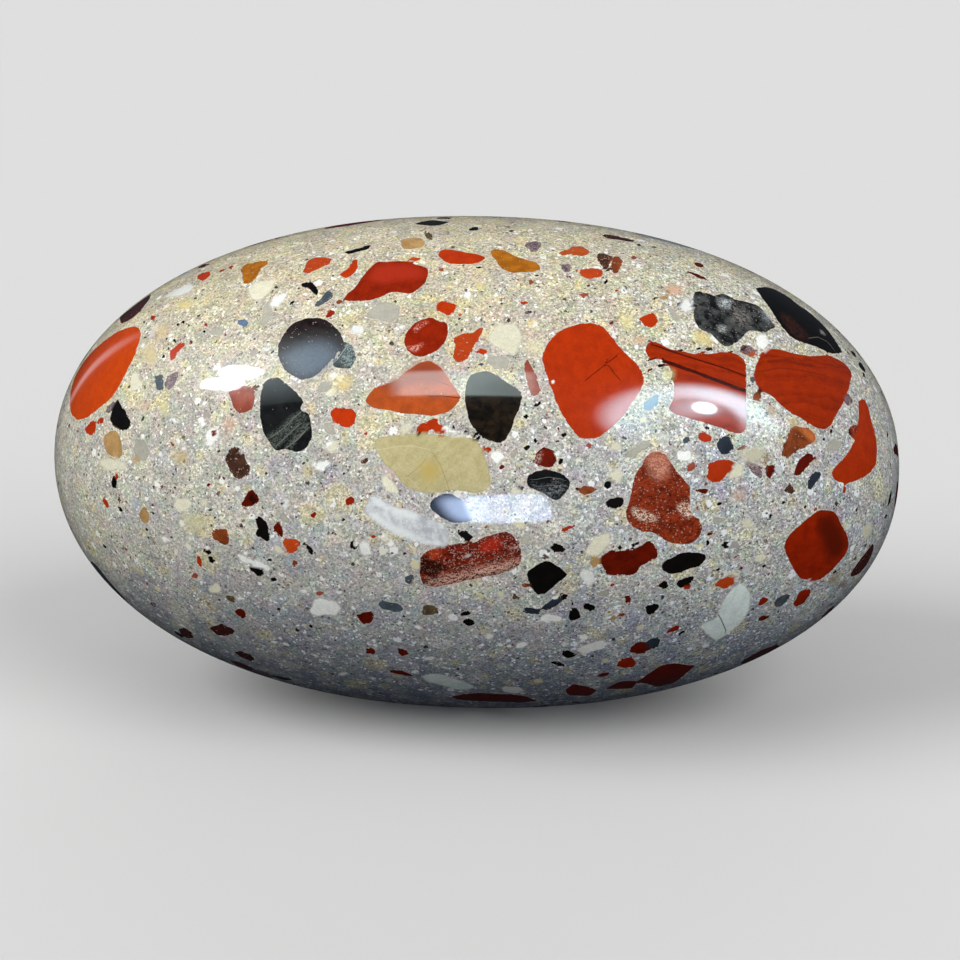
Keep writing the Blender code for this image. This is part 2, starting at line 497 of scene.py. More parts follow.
         (110, 416), (113, 407), (116, 401)],
        [(298, 285), (302, 282), (310, 282), (315, 286), (317, 291), (317, 295), (314, 295), (310, 290),
         (303, 287)],
        [(343, 253), (353, 250), (361, 248), (369, 245), (372, 245), (369, 249), (360, 252), (349, 255)],
        [(414, 224), (420, 222), (431, 220), (441, 221), (450, 222), (442, 225), (431, 226), (422, 225)],
        [(476, 268), (479, 267), (485, 269), (482, 270)],
        [(532, 273), (536, 274), (541, 276), (539, 277), (535, 275)],
        [(532, 406), (536, 401), (542, 399), (543, 400), (538, 403), (534, 407)],
        [(521, 416), (524, 415), (529, 417), (527, 420), (523, 418)],
        [(651, 300), (653, 297), (658, 298), (656, 300)],
        [(703, 427), (706, 425), (710, 426), (709, 431)],
        [(603, 485), (608, 480), (613, 485), (608, 490)],
        [(604, 503), (611, 498), (621, 496), (624, 501), (620, 507), (614, 510), (607, 506)],
        [(661, 566), (664, 561), (672, 558), (679, 553), (689, 552), (700, 553), (706, 555), (706, 559),
         (700, 566), (689, 569), (680, 573), (670, 574), (663, 571)],
        [(676, 584), (678, 580), (687, 577), (694, 576), (695, 578), (689, 584), (681, 588), (677, 586)],
        [(656, 586), (659, 584), (664, 580), (668, 581), (668, 588), (662, 589)],
        [(645, 609), (646, 605), (657, 604), (660, 606), (655, 612), (650, 616), (646, 614)],
        [(887, 507), (889, 497), (891, 490), (892, 494), (890, 504)],
        [(256, 518), (259, 516), (262, 517), (266, 522), (269, 529), (270, 540), (268, 542), (262, 538),
         (255, 535), (258, 529), (256, 522)],
        [(300, 542), (305, 543), (310, 547), (313, 551), (311, 556), (306, 550), (302, 545)],
        [(246, 565), (253, 569), (265, 572), (263, 575), (259, 578), (256, 577), (251, 572)],
        [(111, 483), (113, 475), (116, 476), (117, 482), (116, 489), (112, 488)],
        [(290, 304), (293, 301), (296, 301), (296, 304), (292, 305)],
        [(341, 474), (344, 473), (346, 476), (343, 477)],
    ],
    "brownBlack": [
        [(465, 391), (467, 381), (472, 374), (479, 372), (488, 371), (495, 374), (505, 381), (515, 387),
         (522, 393), (522, 396), (520, 407), (515, 418), (510, 432), (506, 439), (501, 443), (494, 442),
         (485, 439), (477, 432), (470, 423), (467, 412), (465, 400)],
    ],
    "flecked": [
        [(344, 343), (349, 343), (355, 351), (356, 359), (352, 368), (344, 368), (336, 367), (332, 364),
         (340, 355)],
        [(270, 378), (278, 377), (284, 382), (292, 388), (299, 395), (304, 401), (300, 408), (302, 411),
         (308, 413), (310, 418), (312, 431), (312, 438), (307, 447), (302, 451), (297, 452), (290, 450),
         (284, 449), (276, 451), (270, 443), (265, 435), (262, 427), (260, 416), (260, 406), (260, 396),
         (262, 388), (265, 382)],
        [(526, 480), (529, 475), (536, 471), (545, 470), (554, 471), (564, 475), (570, 481), (569, 487),
         (565, 494), (558, 500), (551, 499), (544, 493), (535, 490), (528, 486)],
    ],
    "blueBlack": [
        [(429, 505), (433, 499), (441, 494), (450, 493), (462, 500), (470, 510), (474, 520), (462, 523),
         (450, 522), (440, 517), (432, 510)],
        [(716, 445), (718, 441), (722, 437), (727, 435), (731, 439), (734, 446), (733, 451), (726, 454),
         (720, 453)],
        [(807, 488), (808, 480), (812, 474), (817, 471), (821, 473), (821, 477), (817, 481), (814, 486),
         (811, 490)],
    ],
    "slate": [
        [(155, 377), (158, 375), (162, 375), (164, 379), (163, 390), (157, 390), (155, 385)],
        [(314, 305), (320, 299), (326, 292), (331, 290), (333, 293), (331, 299), (323, 304), (317, 307)],
        [(773, 603), (778, 598), (786, 594), (790, 595), (788, 600), (782, 606), (776, 608)],
    ],
    "blueGrey": [
        [(643, 403), (650, 398), (658, 394), (657, 405), (650, 412), (644, 409)],
    ],
    "storm": [
        [(693, 302), (694, 293), (698, 290), (703, 293), (709, 293), (712, 296), (718, 295), (721, 293),
         (729, 296), (736, 300), (748, 302), (759, 306), (766, 314), (772, 322), (776, 327), (771, 329),
         (765, 333), (757, 331), (750, 330), (745, 334), (740, 340), (734, 344), (727, 347), (721, 344),
         (716, 339), (711, 333), (703, 331), (698, 327), (694, 319)],
    ],
    "mauve": [
        [(167, 376), (175, 372), (179, 372), (178, 378), (173, 388), (168, 391), (166, 388)],
        [(525, 246), (528, 242), (536, 241), (542, 243), (540, 247), (536, 252), (531, 252)],
        [(560, 266), (563, 264), (569, 264), (572, 268), (569, 272), (564, 272)],
        [(739, 347), (747, 345), (757, 349), (756, 352), (744, 354)],
        [(844, 397), (850, 395), (853, 401), (849, 406), (845, 404)],
        [(743, 462), (749, 461), (759, 467), (763, 475), (760, 479), (754, 474), (748, 467)],
        [(103, 410), (112, 402), (117, 399), (115, 402), (110, 410), (106, 414)],
    ],
    "tan": [
        [(374, 444), (376, 438), (387, 436), (413, 434), (427, 434), (445, 436), (461, 437), (472, 438),
         (477, 441), (482, 450), (486, 459), (488, 467), (491, 480), (487, 489), (477, 493), (461, 491),
         (451, 490), (438, 493), (426, 493), (413, 490), (404, 485), (399, 479), (392, 470), (385, 465),
         (380, 456), (376, 450)],
    ],
    "cream": [
        [(488, 337), (494, 329), (495, 325), (514, 324), (520, 330), (522, 338), (519, 346), (517, 352),
         (513, 355), (506, 352), (497, 347), (490, 343)],
        [(736, 462), (743, 464), (745, 472), (738, 478), (728, 478), (731, 472)],
        [(100, 461), (104, 458), (112, 458), (117, 460), (126, 464), (127, 469), (119, 470), (110, 470),
         (101, 466)],
        [(324, 395), (326, 390), (334, 386), (336, 389), (335, 395), (330, 397)],
        [(174, 504), (178, 498), (190, 500), (192, 504), (189, 509), (181, 512), (175, 509)],
        [(326, 446), (332, 440), (338, 442), (338, 448), (333, 452), (328, 451)],
        [(400, 426), (405, 423), (411, 423), (412, 427), (408, 433), (403, 434), (399, 431)],
        [(381, 477), (385, 474), (392, 481), (399, 489), (399, 494), (393, 494), (385, 489)],
        [(331, 516), (334, 513), (340, 516), (339, 520), (333, 520)],
        [(271, 547), (276, 544), (282, 549), (288, 554), (284, 554), (276, 552)],
    ],
    "white": [
        [(206, 432), (212, 428), (218, 428), (220, 434), (214, 442), (210, 447), (206, 445), (206, 438)],
        [(756, 336), (763, 334), (768, 337), (768, 346), (763, 350), (757, 347)],
        [(236, 554), (241, 556), (252, 560), (261, 563), (269, 567), (270, 569), (267, 571), (261, 569),
         (253, 566), (245, 564), (240, 562)],
        [(360, 542), (365, 539), (369, 544), (372, 552), (367, 555), (362, 555), (360, 551)],
        [(388, 541), (391, 538), (396, 543), (393, 547), (389, 545)],
        [(198, 418), (202, 416), (207, 424), (202, 427), (198, 423)],
    ],
    "greyGreen": [
        [(699, 625), (707, 622), (716, 619), (719, 612), (722, 603), (728, 594), (735, 586), (741, 583),
         (746, 587), (750, 593), (750, 604), (748, 612), (743, 619), (739, 625), (730, 631), (723, 637),
         (716, 641), (709, 635), (703, 630)],
    ],
    "quartz": [
        [(363, 511), (371, 495), (378, 497), (388, 503), (399, 509), (408, 509), (418, 514), (426, 518),
         (438, 521), (445, 526), (449, 535), (450, 541), (445, 546), (438, 546), (426, 543), (413, 539),
         (400, 535), (393, 530), (380, 522), (367, 515)],
    ],
    "glassy": [
        [(323, 424), (326, 422), (331, 423), (336, 431), (336, 435), (333, 436), (325, 431)],
    ],
    "gritty": [
        [(643, 464), (645, 458), (650, 453), (658, 451), (666, 455), (671, 463), (677, 472), (685, 481),
         (690, 487), (690, 499), (690, 510), (693, 516), (698, 518), (702, 526), (702, 531), (698, 539),
         (690, 544), (680, 544), (670, 543), (663, 539), (653, 532), (643, 532), (634, 528), (627, 521),
         (626, 512), (629, 503), (631, 493), (633, 482), (636, 473)],
        [(848, 428), (855, 424), (859, 429), (855, 440), (850, 436)],
    ],
    "streaked": [
        [(420, 562), (421, 556), (427, 551), (442, 547), (451, 545), (461, 543), (474, 543), (482, 538),
         (492, 535), (501, 532), (508, 532), (514, 536), (519, 545), (522, 555), (520, 564), (513, 569),
         (503, 573), (483, 577), (464, 581), (449, 585), (433, 587), (423, 585), (420, 576)],
    ],
}

# The small ones on the same side: where the middle of each is in the photo, how long and wide it is there,
# all in pixels, and how far its long axis rises to the right, in degrees
seenChips = {
    "black": [
        (564, 437, 9, 6, -30), (528, 448, 6, 6, 0), (534, 439, 5, 4, 0), (560, 462, 6, 4, 60),
        (466, 536, 17, 8, -35), (557, 549, 19, 9, 0), (564, 596, 8, 8, -45), (575, 614, 14, 12, 70),
        (573, 604, 3, 5, 0), (589, 607, 15, 7, -25), (568, 654, 14, 8, 0), (557, 664, 18, 5, -15),
        (681, 632, 9, 4, 25), (464, 613, 12, 5, 5), (468, 622, 13, 8, -15), (211, 560, 10, 5, -60),
        (274, 579, 6, 5, 0), (179, 634, 12, 3, -35), (282, 678, 20, 3, -12), (727, 544, 9, 7, 25),
        (773, 515, 5, 5, 0), (719, 503, 5, 4, 0), (310, 626, 4, 4, 0), (173, 341, 5, 4, 0),
        (184, 321, 6, 4, 25), (164, 357, 4, 4, 0), (637, 545, 13, 4, 20), (621, 548, 4, 4, 0),
        (355, 545, 11, 8, 75), (854, 354, 10, 3, -50), (862, 367, 15, 4, -55), (465, 431, 6, 4, -10),
        (474, 435, 6, 4, -30), (479, 440, 6, 4, -40), (453, 426, 6, 3, 80), (442, 218, 17, 2, 0),
        (404, 616, 3, 3, 0), (331, 277, 4, 3, 0), (474, 229, 12, 4, 5), (510, 231, 7, 2, 0),
        (489, 303, 3, 2, 0), (489, 306, 3, 2, 0), (639, 245, 6, 3, -15), (605, 281, 6, 4, 45),
        (657, 310, 4, 3, 0), (650, 257, 3, 2, 0), (648, 341, 3, 4, 0), (676, 346, 3, 3, 0),
        (680, 350, 4, 3, 0), (731, 350, 3, 3, 0), (697, 349, 5, 5, 0), (709, 349, 8, 5, 0),
        (649, 361, 4, 3, 0), (653, 358, 6, 4, -30), (662, 365, 8, 5, -20), (671, 380, 3, 3, 0),
        (666, 331, 2, 2, 0), (166, 340, 3, 2, 0), (170, 347, 3, 3, 0), (176, 325, 3, 3, 0),
        (188, 326, 4, 3, 60), (144, 322, 3, 3, 0), (204, 332, 3, 2, 30), (762, 392, 5, 3, 0),
        (637, 418, 2, 3, 0), (656, 430, 2, 5, 0), (864, 377, 5, 3, -60), (831, 433, 5, 5, 40),
        (823, 439, 4, 3, 0), (281, 504, 5, 3, 0), (269, 559, 5, 3, 0), (208, 553, 7, 5, -20),
        (302, 463, 3, 2, 0), (345, 518, 4, 3, 0), (305, 573, 3, 3, 0), (583, 553, 5, 3, 0),
        (702, 467, 3, 3, 0), (593, 443, 2, 2, 0), (708, 545, 5, 6, 0), (718, 569, 4, 3, 0),
        (700, 561, 3, 3, 0), (885, 518, 3, 6, 0), (784, 502, 6, 3, 0), (807, 505, 3, 3, 0),
        (858, 510, 3, 5, 0), (835, 571, 5, 5, 0), (765, 565, 5, 3, 0), (121, 510, 8, 3, -45),
        (127, 501, 3, 3, 0), (130, 506, 3, 3, 0), (153, 514, 4, 3, -30), (105, 545, 4, 4, 0),
        (216, 518, 3, 3, 0), (147, 530, 3, 2, 0), (99, 453, 3, 4, 0), (174, 423, 3, 2, 0),
        (418, 434, 3, 3, 0), (431, 497, 4, 3, 0), (576, 487, 5, 3, -40), (536, 611, 3, 3, 0),
        (517, 578, 7, 3, 45)],
    "blueBlack": [
        (468, 324, 4, 3, -40), (552, 603, 18, 8, 25), (531, 611, 19, 6, -8), (653, 643, 13, 10, 15)],
    "blueGrey": [(243, 322, 12, 7, 0)],
    "slate": [
        (481, 365, 5, 4, 0), (678, 303, 7, 4, 80), (751, 381, 10, 4, 90), (390, 606, 23, 9, -8),
        (409, 579, 11, 8, 0), (685, 440, 8, 6, 50), (752, 608, 6, 5, 0)],
    "banded": [
        (487, 449, 11, 5, -25), (568, 528, 14, 5, 22), (613, 585, 7, 5, 0), (199, 562, 13, 5, -80),
        (153, 318, 9, 4, 30), (372, 537, 6, 4, 0), (194, 432, 3, 3, 0), (206, 324, 5, 4, 0),
        (688, 588, 7, 5, 15), (618, 291, 4, 4, 0), (222, 270, 6, 3, 20), (314, 494, 3, 2, 0),
        (736, 557, 4, 2, 0), (703, 351, 6, 3, 0), (843, 491, 4, 6, 0)],
    "deepRed": [(171, 445, 5, 5, 0), (672, 630, 15, 5, 25), (626, 663, 19, 10, 10), (214, 433, 5, 6, 0)],
    "darkRed": [
        (503, 465, 5, 5, 0), (547, 521, 5, 5, 0), (624, 685, 29, 8, 12), (603, 675, 15, 4, 12),
        (629, 599, 7, 10, 0), (366, 618, 16, 12, 0), (371, 651, 11, 6, 0), (403, 652, 11, 6, -20),
        (400, 673, 22, 4, -12), (241, 613, 14, 6, -30), (242, 665, 26, 4, -22), (741, 568, 6, 4, 40),
        (190, 342, 4, 4, 0), (587, 286, 5, 3, 0), (574, 289, 3, 3, 0), (595, 302, 4, 3, 0),
        (468, 367, 3, 3, 0), (622, 254, 4, 3, 0), (699, 265, 13, 4, -18), (698, 276, 22, 3, -24),
        (650, 370, 6, 6, 0), (711, 533, 9, 4, 20), (823, 451, 3, 3, 0), (154, 486, 4, 3, 0),
        (160, 485, 2, 4, 0), (208, 484, 3, 3, 0), (166, 498, 3, 3, 0), (218, 450, 3, 4, 0),
        (557, 428, 3, 3, 0), (558, 440, 4, 2, 0), (667, 674, 48, 20, 14), (580, 690, 26, 10, 0),
        (640, 648, 20, 12, 14), (490, 698, 72, 8, -3), (203, 266, 13, 3, 15), (120, 501, 3, 5, 0),
        (403, 555, 4, 3, 0), (175, 487, 4, 4, 0), (760, 655, 40, 8, 22)],
    "maroon": [
        (186, 634, 14, 8, -35), (224, 631, 25, 11, -10), (279, 609, 7, 4, 0), (297, 630, 6, 4, 0),
        (245, 656, 20, 6, -25), (744, 349, 10, 6, 15), (852, 432, 7, 10, -10)],
    "rust": [
        (524, 587, 8, 4, 0), (622, 614, 9, 4, 20), (587, 490, 18, 9, 4), (338, 303, 6, 5, 0),
        (757, 396, 8, 9, 0), (612, 324, 7, 6, 0), (742, 447, 13, 3, 30), (294, 564, 7, 6, 0)],
    "lightRed": [(726, 582, 19, 9, 20), (415, 259, 10, 4, 0)],
    "orange": [(750, 355, 11, 6, 5)],
    "pinkRed": [(484, 526, 7, 5, 0), (195, 576, 6, 6, 0), (633, 258, 7, 4, -5), (320, 594, 9, 4, 10)],
    "olive": [
        (652, 247, 8, 2, -12), (430, 610, 14, 12, -20), (514, 598, 10, 6, -35), (231, 598, 12, 7, -20)],
    "mauve": [(260, 673, 26, 5, -20), (153, 603, 8, 5, -30)],
    "white": [
        (551, 618, 22, 8, 0), (594, 647, 29, 10, 14), (584, 638, 13, 5, 0), (512, 689, 24, 6, -6),
        (303, 592, 8, 7, 0), (684, 456, 15, 11, 0), (497, 457, 13, 11, 0), (161, 455, 6, 7, 0),
        (178, 440, 10, 6, 0), (182, 448, 9, 5, -70), (587, 575, 18, 14, -40), (315, 655, 8, 3, -20),
        (418, 628, 8, 4, -20), (240, 597, 8, 4, 0), (430, 658, 10, 4, 0), (344, 674, 10, 4, 10),
        (488, 636, 7, 5, 0), (522, 645, 14, 5, 20), (357, 329, 11, 10, 0), (467, 295, 7, 7, 0),
        (540, 290, 8, 5, 10), (143, 348, 8, 5, 0), (687, 306, 11, 13, 0), (184, 275, 11, 4, 30),
        (325, 607, 26, 17, -8), (181, 291, 34, 7, 18), (285, 503, 8, 10, 0), (322, 466, 14, 8, 20),
        (330, 446, 9, 9, 0), (545, 515, 5, 4, 0), (278, 300, 20, 9, 30), (173, 420, 8, 4, -20),
        (165, 540, 9, 9, 0), (157, 491, 5, 5, 0), (808, 583, 5, 6, 0), (456, 431, 22, 5, -20),
        (334, 375, 8, 8, 0), (402, 327, 8, 5, 0)],
    "cream": [
        (616, 476, 16, 11, 0), (598, 544, 23, 15, 40), (616, 446, 12, 8, 0), (747, 524, 11, 9, 0),
        (215, 588, 11, 9, 0), (515, 491, 10, 9, 0), (733, 573, 10, 6, 0), (500, 594, 10, 8, 0),
        (607, 661, 8, 5, 0), (262, 289, 26, 14, 30), (135, 382, 11, 17, 0), (687, 520, 7, 5, 0),
        (203, 504, 9, 8, 0), (866, 532, 9, 14, -20), (760, 558, 13, 7, 10)],
    "greyGreen": [(447, 682, 42, 10, -12)],
    "glassy": [
        (674, 317, 26, 6, -55), (284, 518, 15, 7, -50), (217, 332, 12, 8, 0), (835, 445, 15, 12, 0),
        (720, 520, 15, 6, 0), (663, 438, 10, 8, 0), (140, 452, 15, 20, 0), (515, 455, 6, 11, -15),
        (151, 442, 4, 5, 0), (526, 539, 11, 9, 60), (638, 450, 26, 8, 35), (605, 594, 14, 6, 10),
        (267, 313, 22, 9, 75), (385, 312, 28, 16, 0), (498, 362, 20, 13, 0), (325, 387, 14, 10, 30)],
    "brown": [(258, 387, 8, 5, 25)],
    "amber": [(663, 299, 9, 4, 0), (595, 562, 10, 8, 0), (614, 618, 8, 5, 40)],
}

# Patches inside or beside a pebble, one of them partly a painted reflection: their colour, how far they break
# up into flecks, how soft their edge is in millimetres, and where their corners are in the photo
patchColumns = ("tone", "flecks", "soft", "corners")
seenPatches = [dict(zip(patchColumns, row)) for row in [
    ((84, 90, 85), 0.85, 0.5, [(266, 436), (276, 430), (290, 416), (301, 410), (309, 417), (300, 426),
        (288, 438), (276, 450), (270, 446)]),
    ((92, 98, 92), 0.9, 0.4, [(284, 449), (292, 436), (303, 424), (310, 420), (311, 427), (300, 436),
        (292, 449)]),
    ((120, 124, 124), 1.0, 0.8, [(532, 483), (545, 488), (556, 480), (566, 484), (562, 493), (550, 497),
        (538, 489)]),
    ((40, 18, 10), 0.3, 0.5, [(420, 561), (428, 557), (438, 561), (448, 566), (440, 574), (428, 577),
        (421, 573)]),
    ((186, 46, 26), 0.4, 0.7, [(480, 545), (490, 539), (502, 539), (500, 548), (488, 552), (480, 551)]),
    ((186, 180, 172), 0.0, 0.15, [(462, 558), (467, 554), (474, 553), (471, 556), (464, 559)]),
    ((222, 180, 160), 1.0, 0.7, [(450, 574), (470, 569), (500, 562), (520, 557), (521, 563), (512, 569),
        (480, 577), (450, 584), (432, 587), (424, 585), (430, 580)]),
    ((214, 150, 124), 0.62, 1.0, [(646, 460), (652, 453), (662, 452), (669, 462), (668, 476), (658, 480),
        (650, 474)]),
    ((238, 220, 196), 1.0, 0.4, [(631, 507), (640, 509), (654, 514), (657, 521), (645, 522), (634, 517)]),
    ((238, 220, 196), 1.0, 0.4, [(676, 505), (688, 502), (694, 509), (690, 520), (680, 514)]),
    ((206, 180, 164), 0.96, 0.5, [(534, 461), (538, 453), (543, 452), (541, 458), (538, 464)]),
    ((240, 244, 243), 0.1, 0.5, [(364, 509), (376, 514), (392, 524), (412, 534), (430, 541), (447, 544),
        (430, 545), (396, 535), (376, 522)]),
    ((240, 244, 243), 0.1, 0.4, [(370, 496), (380, 500), (392, 508), (408, 510), (424, 518), (412, 519),
        (392, 512), (376, 506)]),
    ((196, 172, 96), 0.1, 1.4, [(419, 466), (430, 461), (440, 468), (436, 480), (424, 482)]),
    ((132, 128, 124), 0.94, 0.9, [(730, 305), (744, 308), (752, 318), (744, 328), (733, 322)]),
    ((214, 220, 214), 0.9, 0.7, [(718, 326), (725, 326), (726, 331), (719, 332)]),
    ((150, 150, 146), 0.5, 0.3, [(820, 329), (826, 333), (825, 336), (820, 333)]),
    ((70, 38, 28), 0.97, 0.8, [(779, 312), (790, 316), (800, 326), (810, 338), (800, 342), (792, 334),
        (784, 324)]),
    ((160, 170, 176), 0.92, 0.8, [(760, 310), (768, 312), (772, 321), (764, 321)]),
    ((212, 218, 220), 0.93, 0.7, [(718, 298), (732, 300), (730, 308), (719, 307)]),
    ((222, 150, 132), 0.98, 0.3, [(413, 330), (417, 324), (428, 320), (429, 323), (420, 328), (416, 334)]),
    ((226, 160, 142), 0.97, 0.3, [(404, 346), (414, 346), (425, 342), (416, 353)]),
    ((60, 22, 10), 0.2, 0.3, [(608, 321), (615, 320), (616, 323), (609, 324)]),
    ((228, 208, 120), 0.5, 0.7, [(527, 320), (535, 320), (535, 326), (528, 327)]),
    ((226, 210, 130), 0.5, 0.7, [(476, 285), (483, 284), (482, 290), (476, 289)]),
    ((226, 218, 178), 0.5, 1.0, [(526, 342), (540, 341), (540, 353), (528, 353)]),
    ((228, 215, 150), 0.5, 1.0, [(622, 318), (633, 318), (634, 327), (624, 328)]),
    ((222, 184, 136), 0.5, 1.0, [(634, 337), (645, 336), (646, 343), (635, 344)]),
    ((216, 198, 150), 0.2, 1.0, [(144, 346), (154, 346), (157, 358), (153, 368), (146, 362)]),
    ((226, 200, 150), 0.4, 1.2, [(157, 326), (166, 325), (167, 336), (158, 338)]),
    ((222, 206, 132), 0.4, 1.2, [(178, 301), (191, 300), (190, 309), (178, 309)]),
    ((214, 206, 140), 0.4, 1.0, [(664, 370), (673, 370), (673, 378), (665, 378)]),
    ((222, 176, 144), 0.3, 0.9, [(666, 286), (682, 286), (681, 294), (668, 295)]),
    ((204, 158, 128), 0.2, 0.6, [(768, 406), (773, 407), (775, 414), (771, 415)]),
    ((206, 164, 134), 0.6, 1.0, [(733, 492), (744, 491), (744, 501), (734, 502)]),
    ((204, 160, 136), 0.6, 0.8, [(223, 417), (235, 418), (236, 430), (225, 430)]),
    ((214, 204, 140), 0.5, 0.8, [(343, 430), (348, 431), (348, 444), (343, 443)]),
    ((204, 196, 150), 0.6, 1.0, [(302, 466), (311, 466), (311, 478), (303, 478)]),
    ((208, 176, 96), 0.4, 0.7, [(790, 420), (797, 419), (796, 426), (790, 427)]),
    ((200, 196, 168), 0.1, 1.0, [(737, 456), (744, 449), (756, 447), (766, 450), (768, 459), (758, 463),
        (746, 461)]),
    ((140, 112, 50), 0.5, 0.9, [(760, 452), (768, 450), (770, 462), (762, 468)]),
    ((92, 52, 26), 0.1, 0.3, [(765, 457), (769, 453), (771, 455), (767, 459)]),
    ((222, 216, 144), 0.5, 1.0, [(158, 402), (166, 402), (170, 412), (162, 413)]),
    ((206, 202, 158), 0.45, 1.4, [(181, 518), (194, 515), (206, 520), (202, 530), (188, 532)]),
    ((196, 172, 112), 0.5, 1.0, [(172, 452), (186, 452), (188, 462), (178, 464)]),
    ((196, 156, 106), 0.3, 0.6, [(133, 456), (140, 457), (139, 464), (133, 463)]),
    ((168, 184, 196), 0.6, 0.7, [(130, 500), (139, 500), (139, 508), (131, 507)]),
    ((208, 168, 146), 0.6, 0.9, [(137, 403), (149, 401), (150, 409), (139, 411)]),
    ((96, 24, 6), 0.0, 1.4, [(818, 516), (832, 514), (840, 526), (846, 542), (840, 556), (830, 560),
        (824, 548), (818, 532)]),
    ((196, 68, 28), 0.4, 0.6, [(427, 553), (438, 549), (443, 555), (432, 559)]),
    ((30, 28, 30), 0.85, 0.5, [(458, 424), (466, 427), (474, 431), (482, 439), (478, 441), (469, 434),
        (458, 428)]),
    ((216, 200, 196), 0.1, 0.15, [(508, 548), (519, 546), (520, 548), (509, 550)]),
    ((130, 92, 66), 0.5, 0.6, [(838, 583), (846, 582), (846, 588), (839, 588)]),
    ((150, 132, 92), 0.4, 1.0, [(829, 576), (838, 574), (838, 583), (830, 585)]),
    ((236, 238, 240), 0.0, 0.1, [(727, 543), (731, 542), (731, 546), (727, 546)]),
    ((226, 228, 222), 0.85, 0.3, [(658, 434), (667, 434), (668, 441), (659, 442)]),
    ((210, 170, 166), 0.75, 0.5, [(378, 466), (384, 466), (394, 474), (400, 482), (397, 484), (388, 476),
        (379, 470)]),
    ((30, 10, 6), 0.2, 0.5, [(250, 492), (259, 499), (254, 505), (247, 500)]),
    ((236, 236, 228), 0.0, 0.1, [(353, 542), (357, 540), (358, 546), (354, 548)]),
    ((230, 230, 222), 0.5, 0.2, [(238, 448), (243, 450), (243, 456), (239, 453)]),
    ((212, 120, 60), 0.1, 0.7, [(798, 427), (808, 429), (816, 436), (814, 443), (806, 437)]),
    ((134, 150, 150), 0.9, 0.3, [(345, 343), (349, 343), (355, 351), (356, 359), (352, 367), (346, 367),
        (339, 364), (343, 354)]),
    ((228, 206, 130), 0.6, 1.0, [(334, 377), (342, 374), (352, 378), (351, 388), (342, 392), (333, 388)]),
    ((232, 210, 128), 0.6, 0.8, [(692, 330), (700, 332), (712, 338), (716, 344), (706, 346), (696, 340)]),
    ((240, 236, 226), 0.0, 0.1, [(551, 380), (555, 380), (555, 384), (551, 384)]),
    # Partly a painted reflection: a soft bluish grey haze over the plum pebble's lower half, partly its own
    # lighter colour
    ((92, 104, 120), 0.2, 1.8, [(284, 356), (296, 348), (312, 342), (330, 344), (338, 354), (330, 366),
        (318, 374), (302, 377), (290, 370)]),
    ((112, 32, 26), 0.0, 0.12, [(211, 430), (216, 430), (217, 436), (212, 437)]),
    ((146, 64, 37), 0.1, 1.0, [(378, 391), (390, 381), (402, 376), (410, 369), (420, 362), (430, 361),
        (440, 368), (449, 380), (436, 385), (418, 383), (398, 389)]),
    ((176, 48, 24), 0.2, 1.3, [(368, 280), (374, 268), (386, 264), (408, 264), (424, 270), (423, 279),
        (404, 279), (382, 284)]),
]]

# Lines inside a pebble: dark stripes and healed cracks, or pale veins, with their colour and their width in
# millimetres. Lines of one group run side by side, in order
lineColumns = ("tone", "width", "lines")
seenLines = [dict(zip(lineColumns, row)) for row in [
    ((134, 140, 132), 0.15, [[(270, 438), (284, 428), (295, 417), (303, 410)],
        [(276, 446), (288, 435), (300, 424)], [(286, 448), (297, 440), (306, 430)]]),
    ((150, 158, 156), 0.2, [[(346, 347), (342, 353), (337, 360), (332, 363)]]),
    ((60, 16, 6), 0.3, [[(654, 345), (670, 351), (689, 357), (708, 363), (727, 369), (745, 376)]]),
    ((44, 12, 6), 0.66, [
        [(664, 361), (683, 368), (695, 372), (708, 377), (724, 383), (739, 389), (746, 391)]]),
    ((92, 24, 8), 0.2, [[(586, 380), (597, 371), (606, 364), (618, 355)],
        [(609, 366), (614, 373), (619, 379)]]),
    ((122, 128, 128), 0.09, [[(534, 480), (548, 477), (562, 479)], [(538, 487), (550, 485), (566, 486)],
        [(546, 493), (560, 491)]]),
    ((84, 34, 18), 0.17, [[(400, 377), (414, 380), (430, 379), (446, 384)],
        [(428, 396), (442, 396), (460, 398)]]),
    ((130, 36, 10), 0.6, [[(770, 362), (786, 360), (800, 364), (812, 366)]]),
    ((134, 40, 10), 0.3, [[(758, 372), (780, 368), (804, 371), (826, 376)],
        [(832, 361), (842, 369), (850, 376)]]),
    ((110, 106, 100), 0.16, [[(810, 338), (818, 337), (828, 342), (834, 350)]]),
    ((216, 204, 160), 0.14, [[(377, 450), (400, 446), (413, 446), (426, 449), (438, 450)]]),
    ((156, 144, 92), 0.12, [[(432, 452), (439, 462), (444, 474), (449, 489)],
        [(406, 477), (417, 469), (427, 458)]]),
    ((214, 202, 158), 0.12, [[(408, 477), (413, 482), (418, 488)]]),
    ((96, 108, 104), 0.22, [[(716, 611), (721, 619), (726, 631)]]),
    ((118, 28, 8), 0.14, [[(362, 296), (385, 286), (405, 282), (424, 272)]]),
    ((176, 112, 88), 0.09, [[(448, 570), (464, 565), (482, 562), (500, 557), (514, 553)],
        [(432, 580), (452, 577), (474, 572), (498, 566)]]),
]]

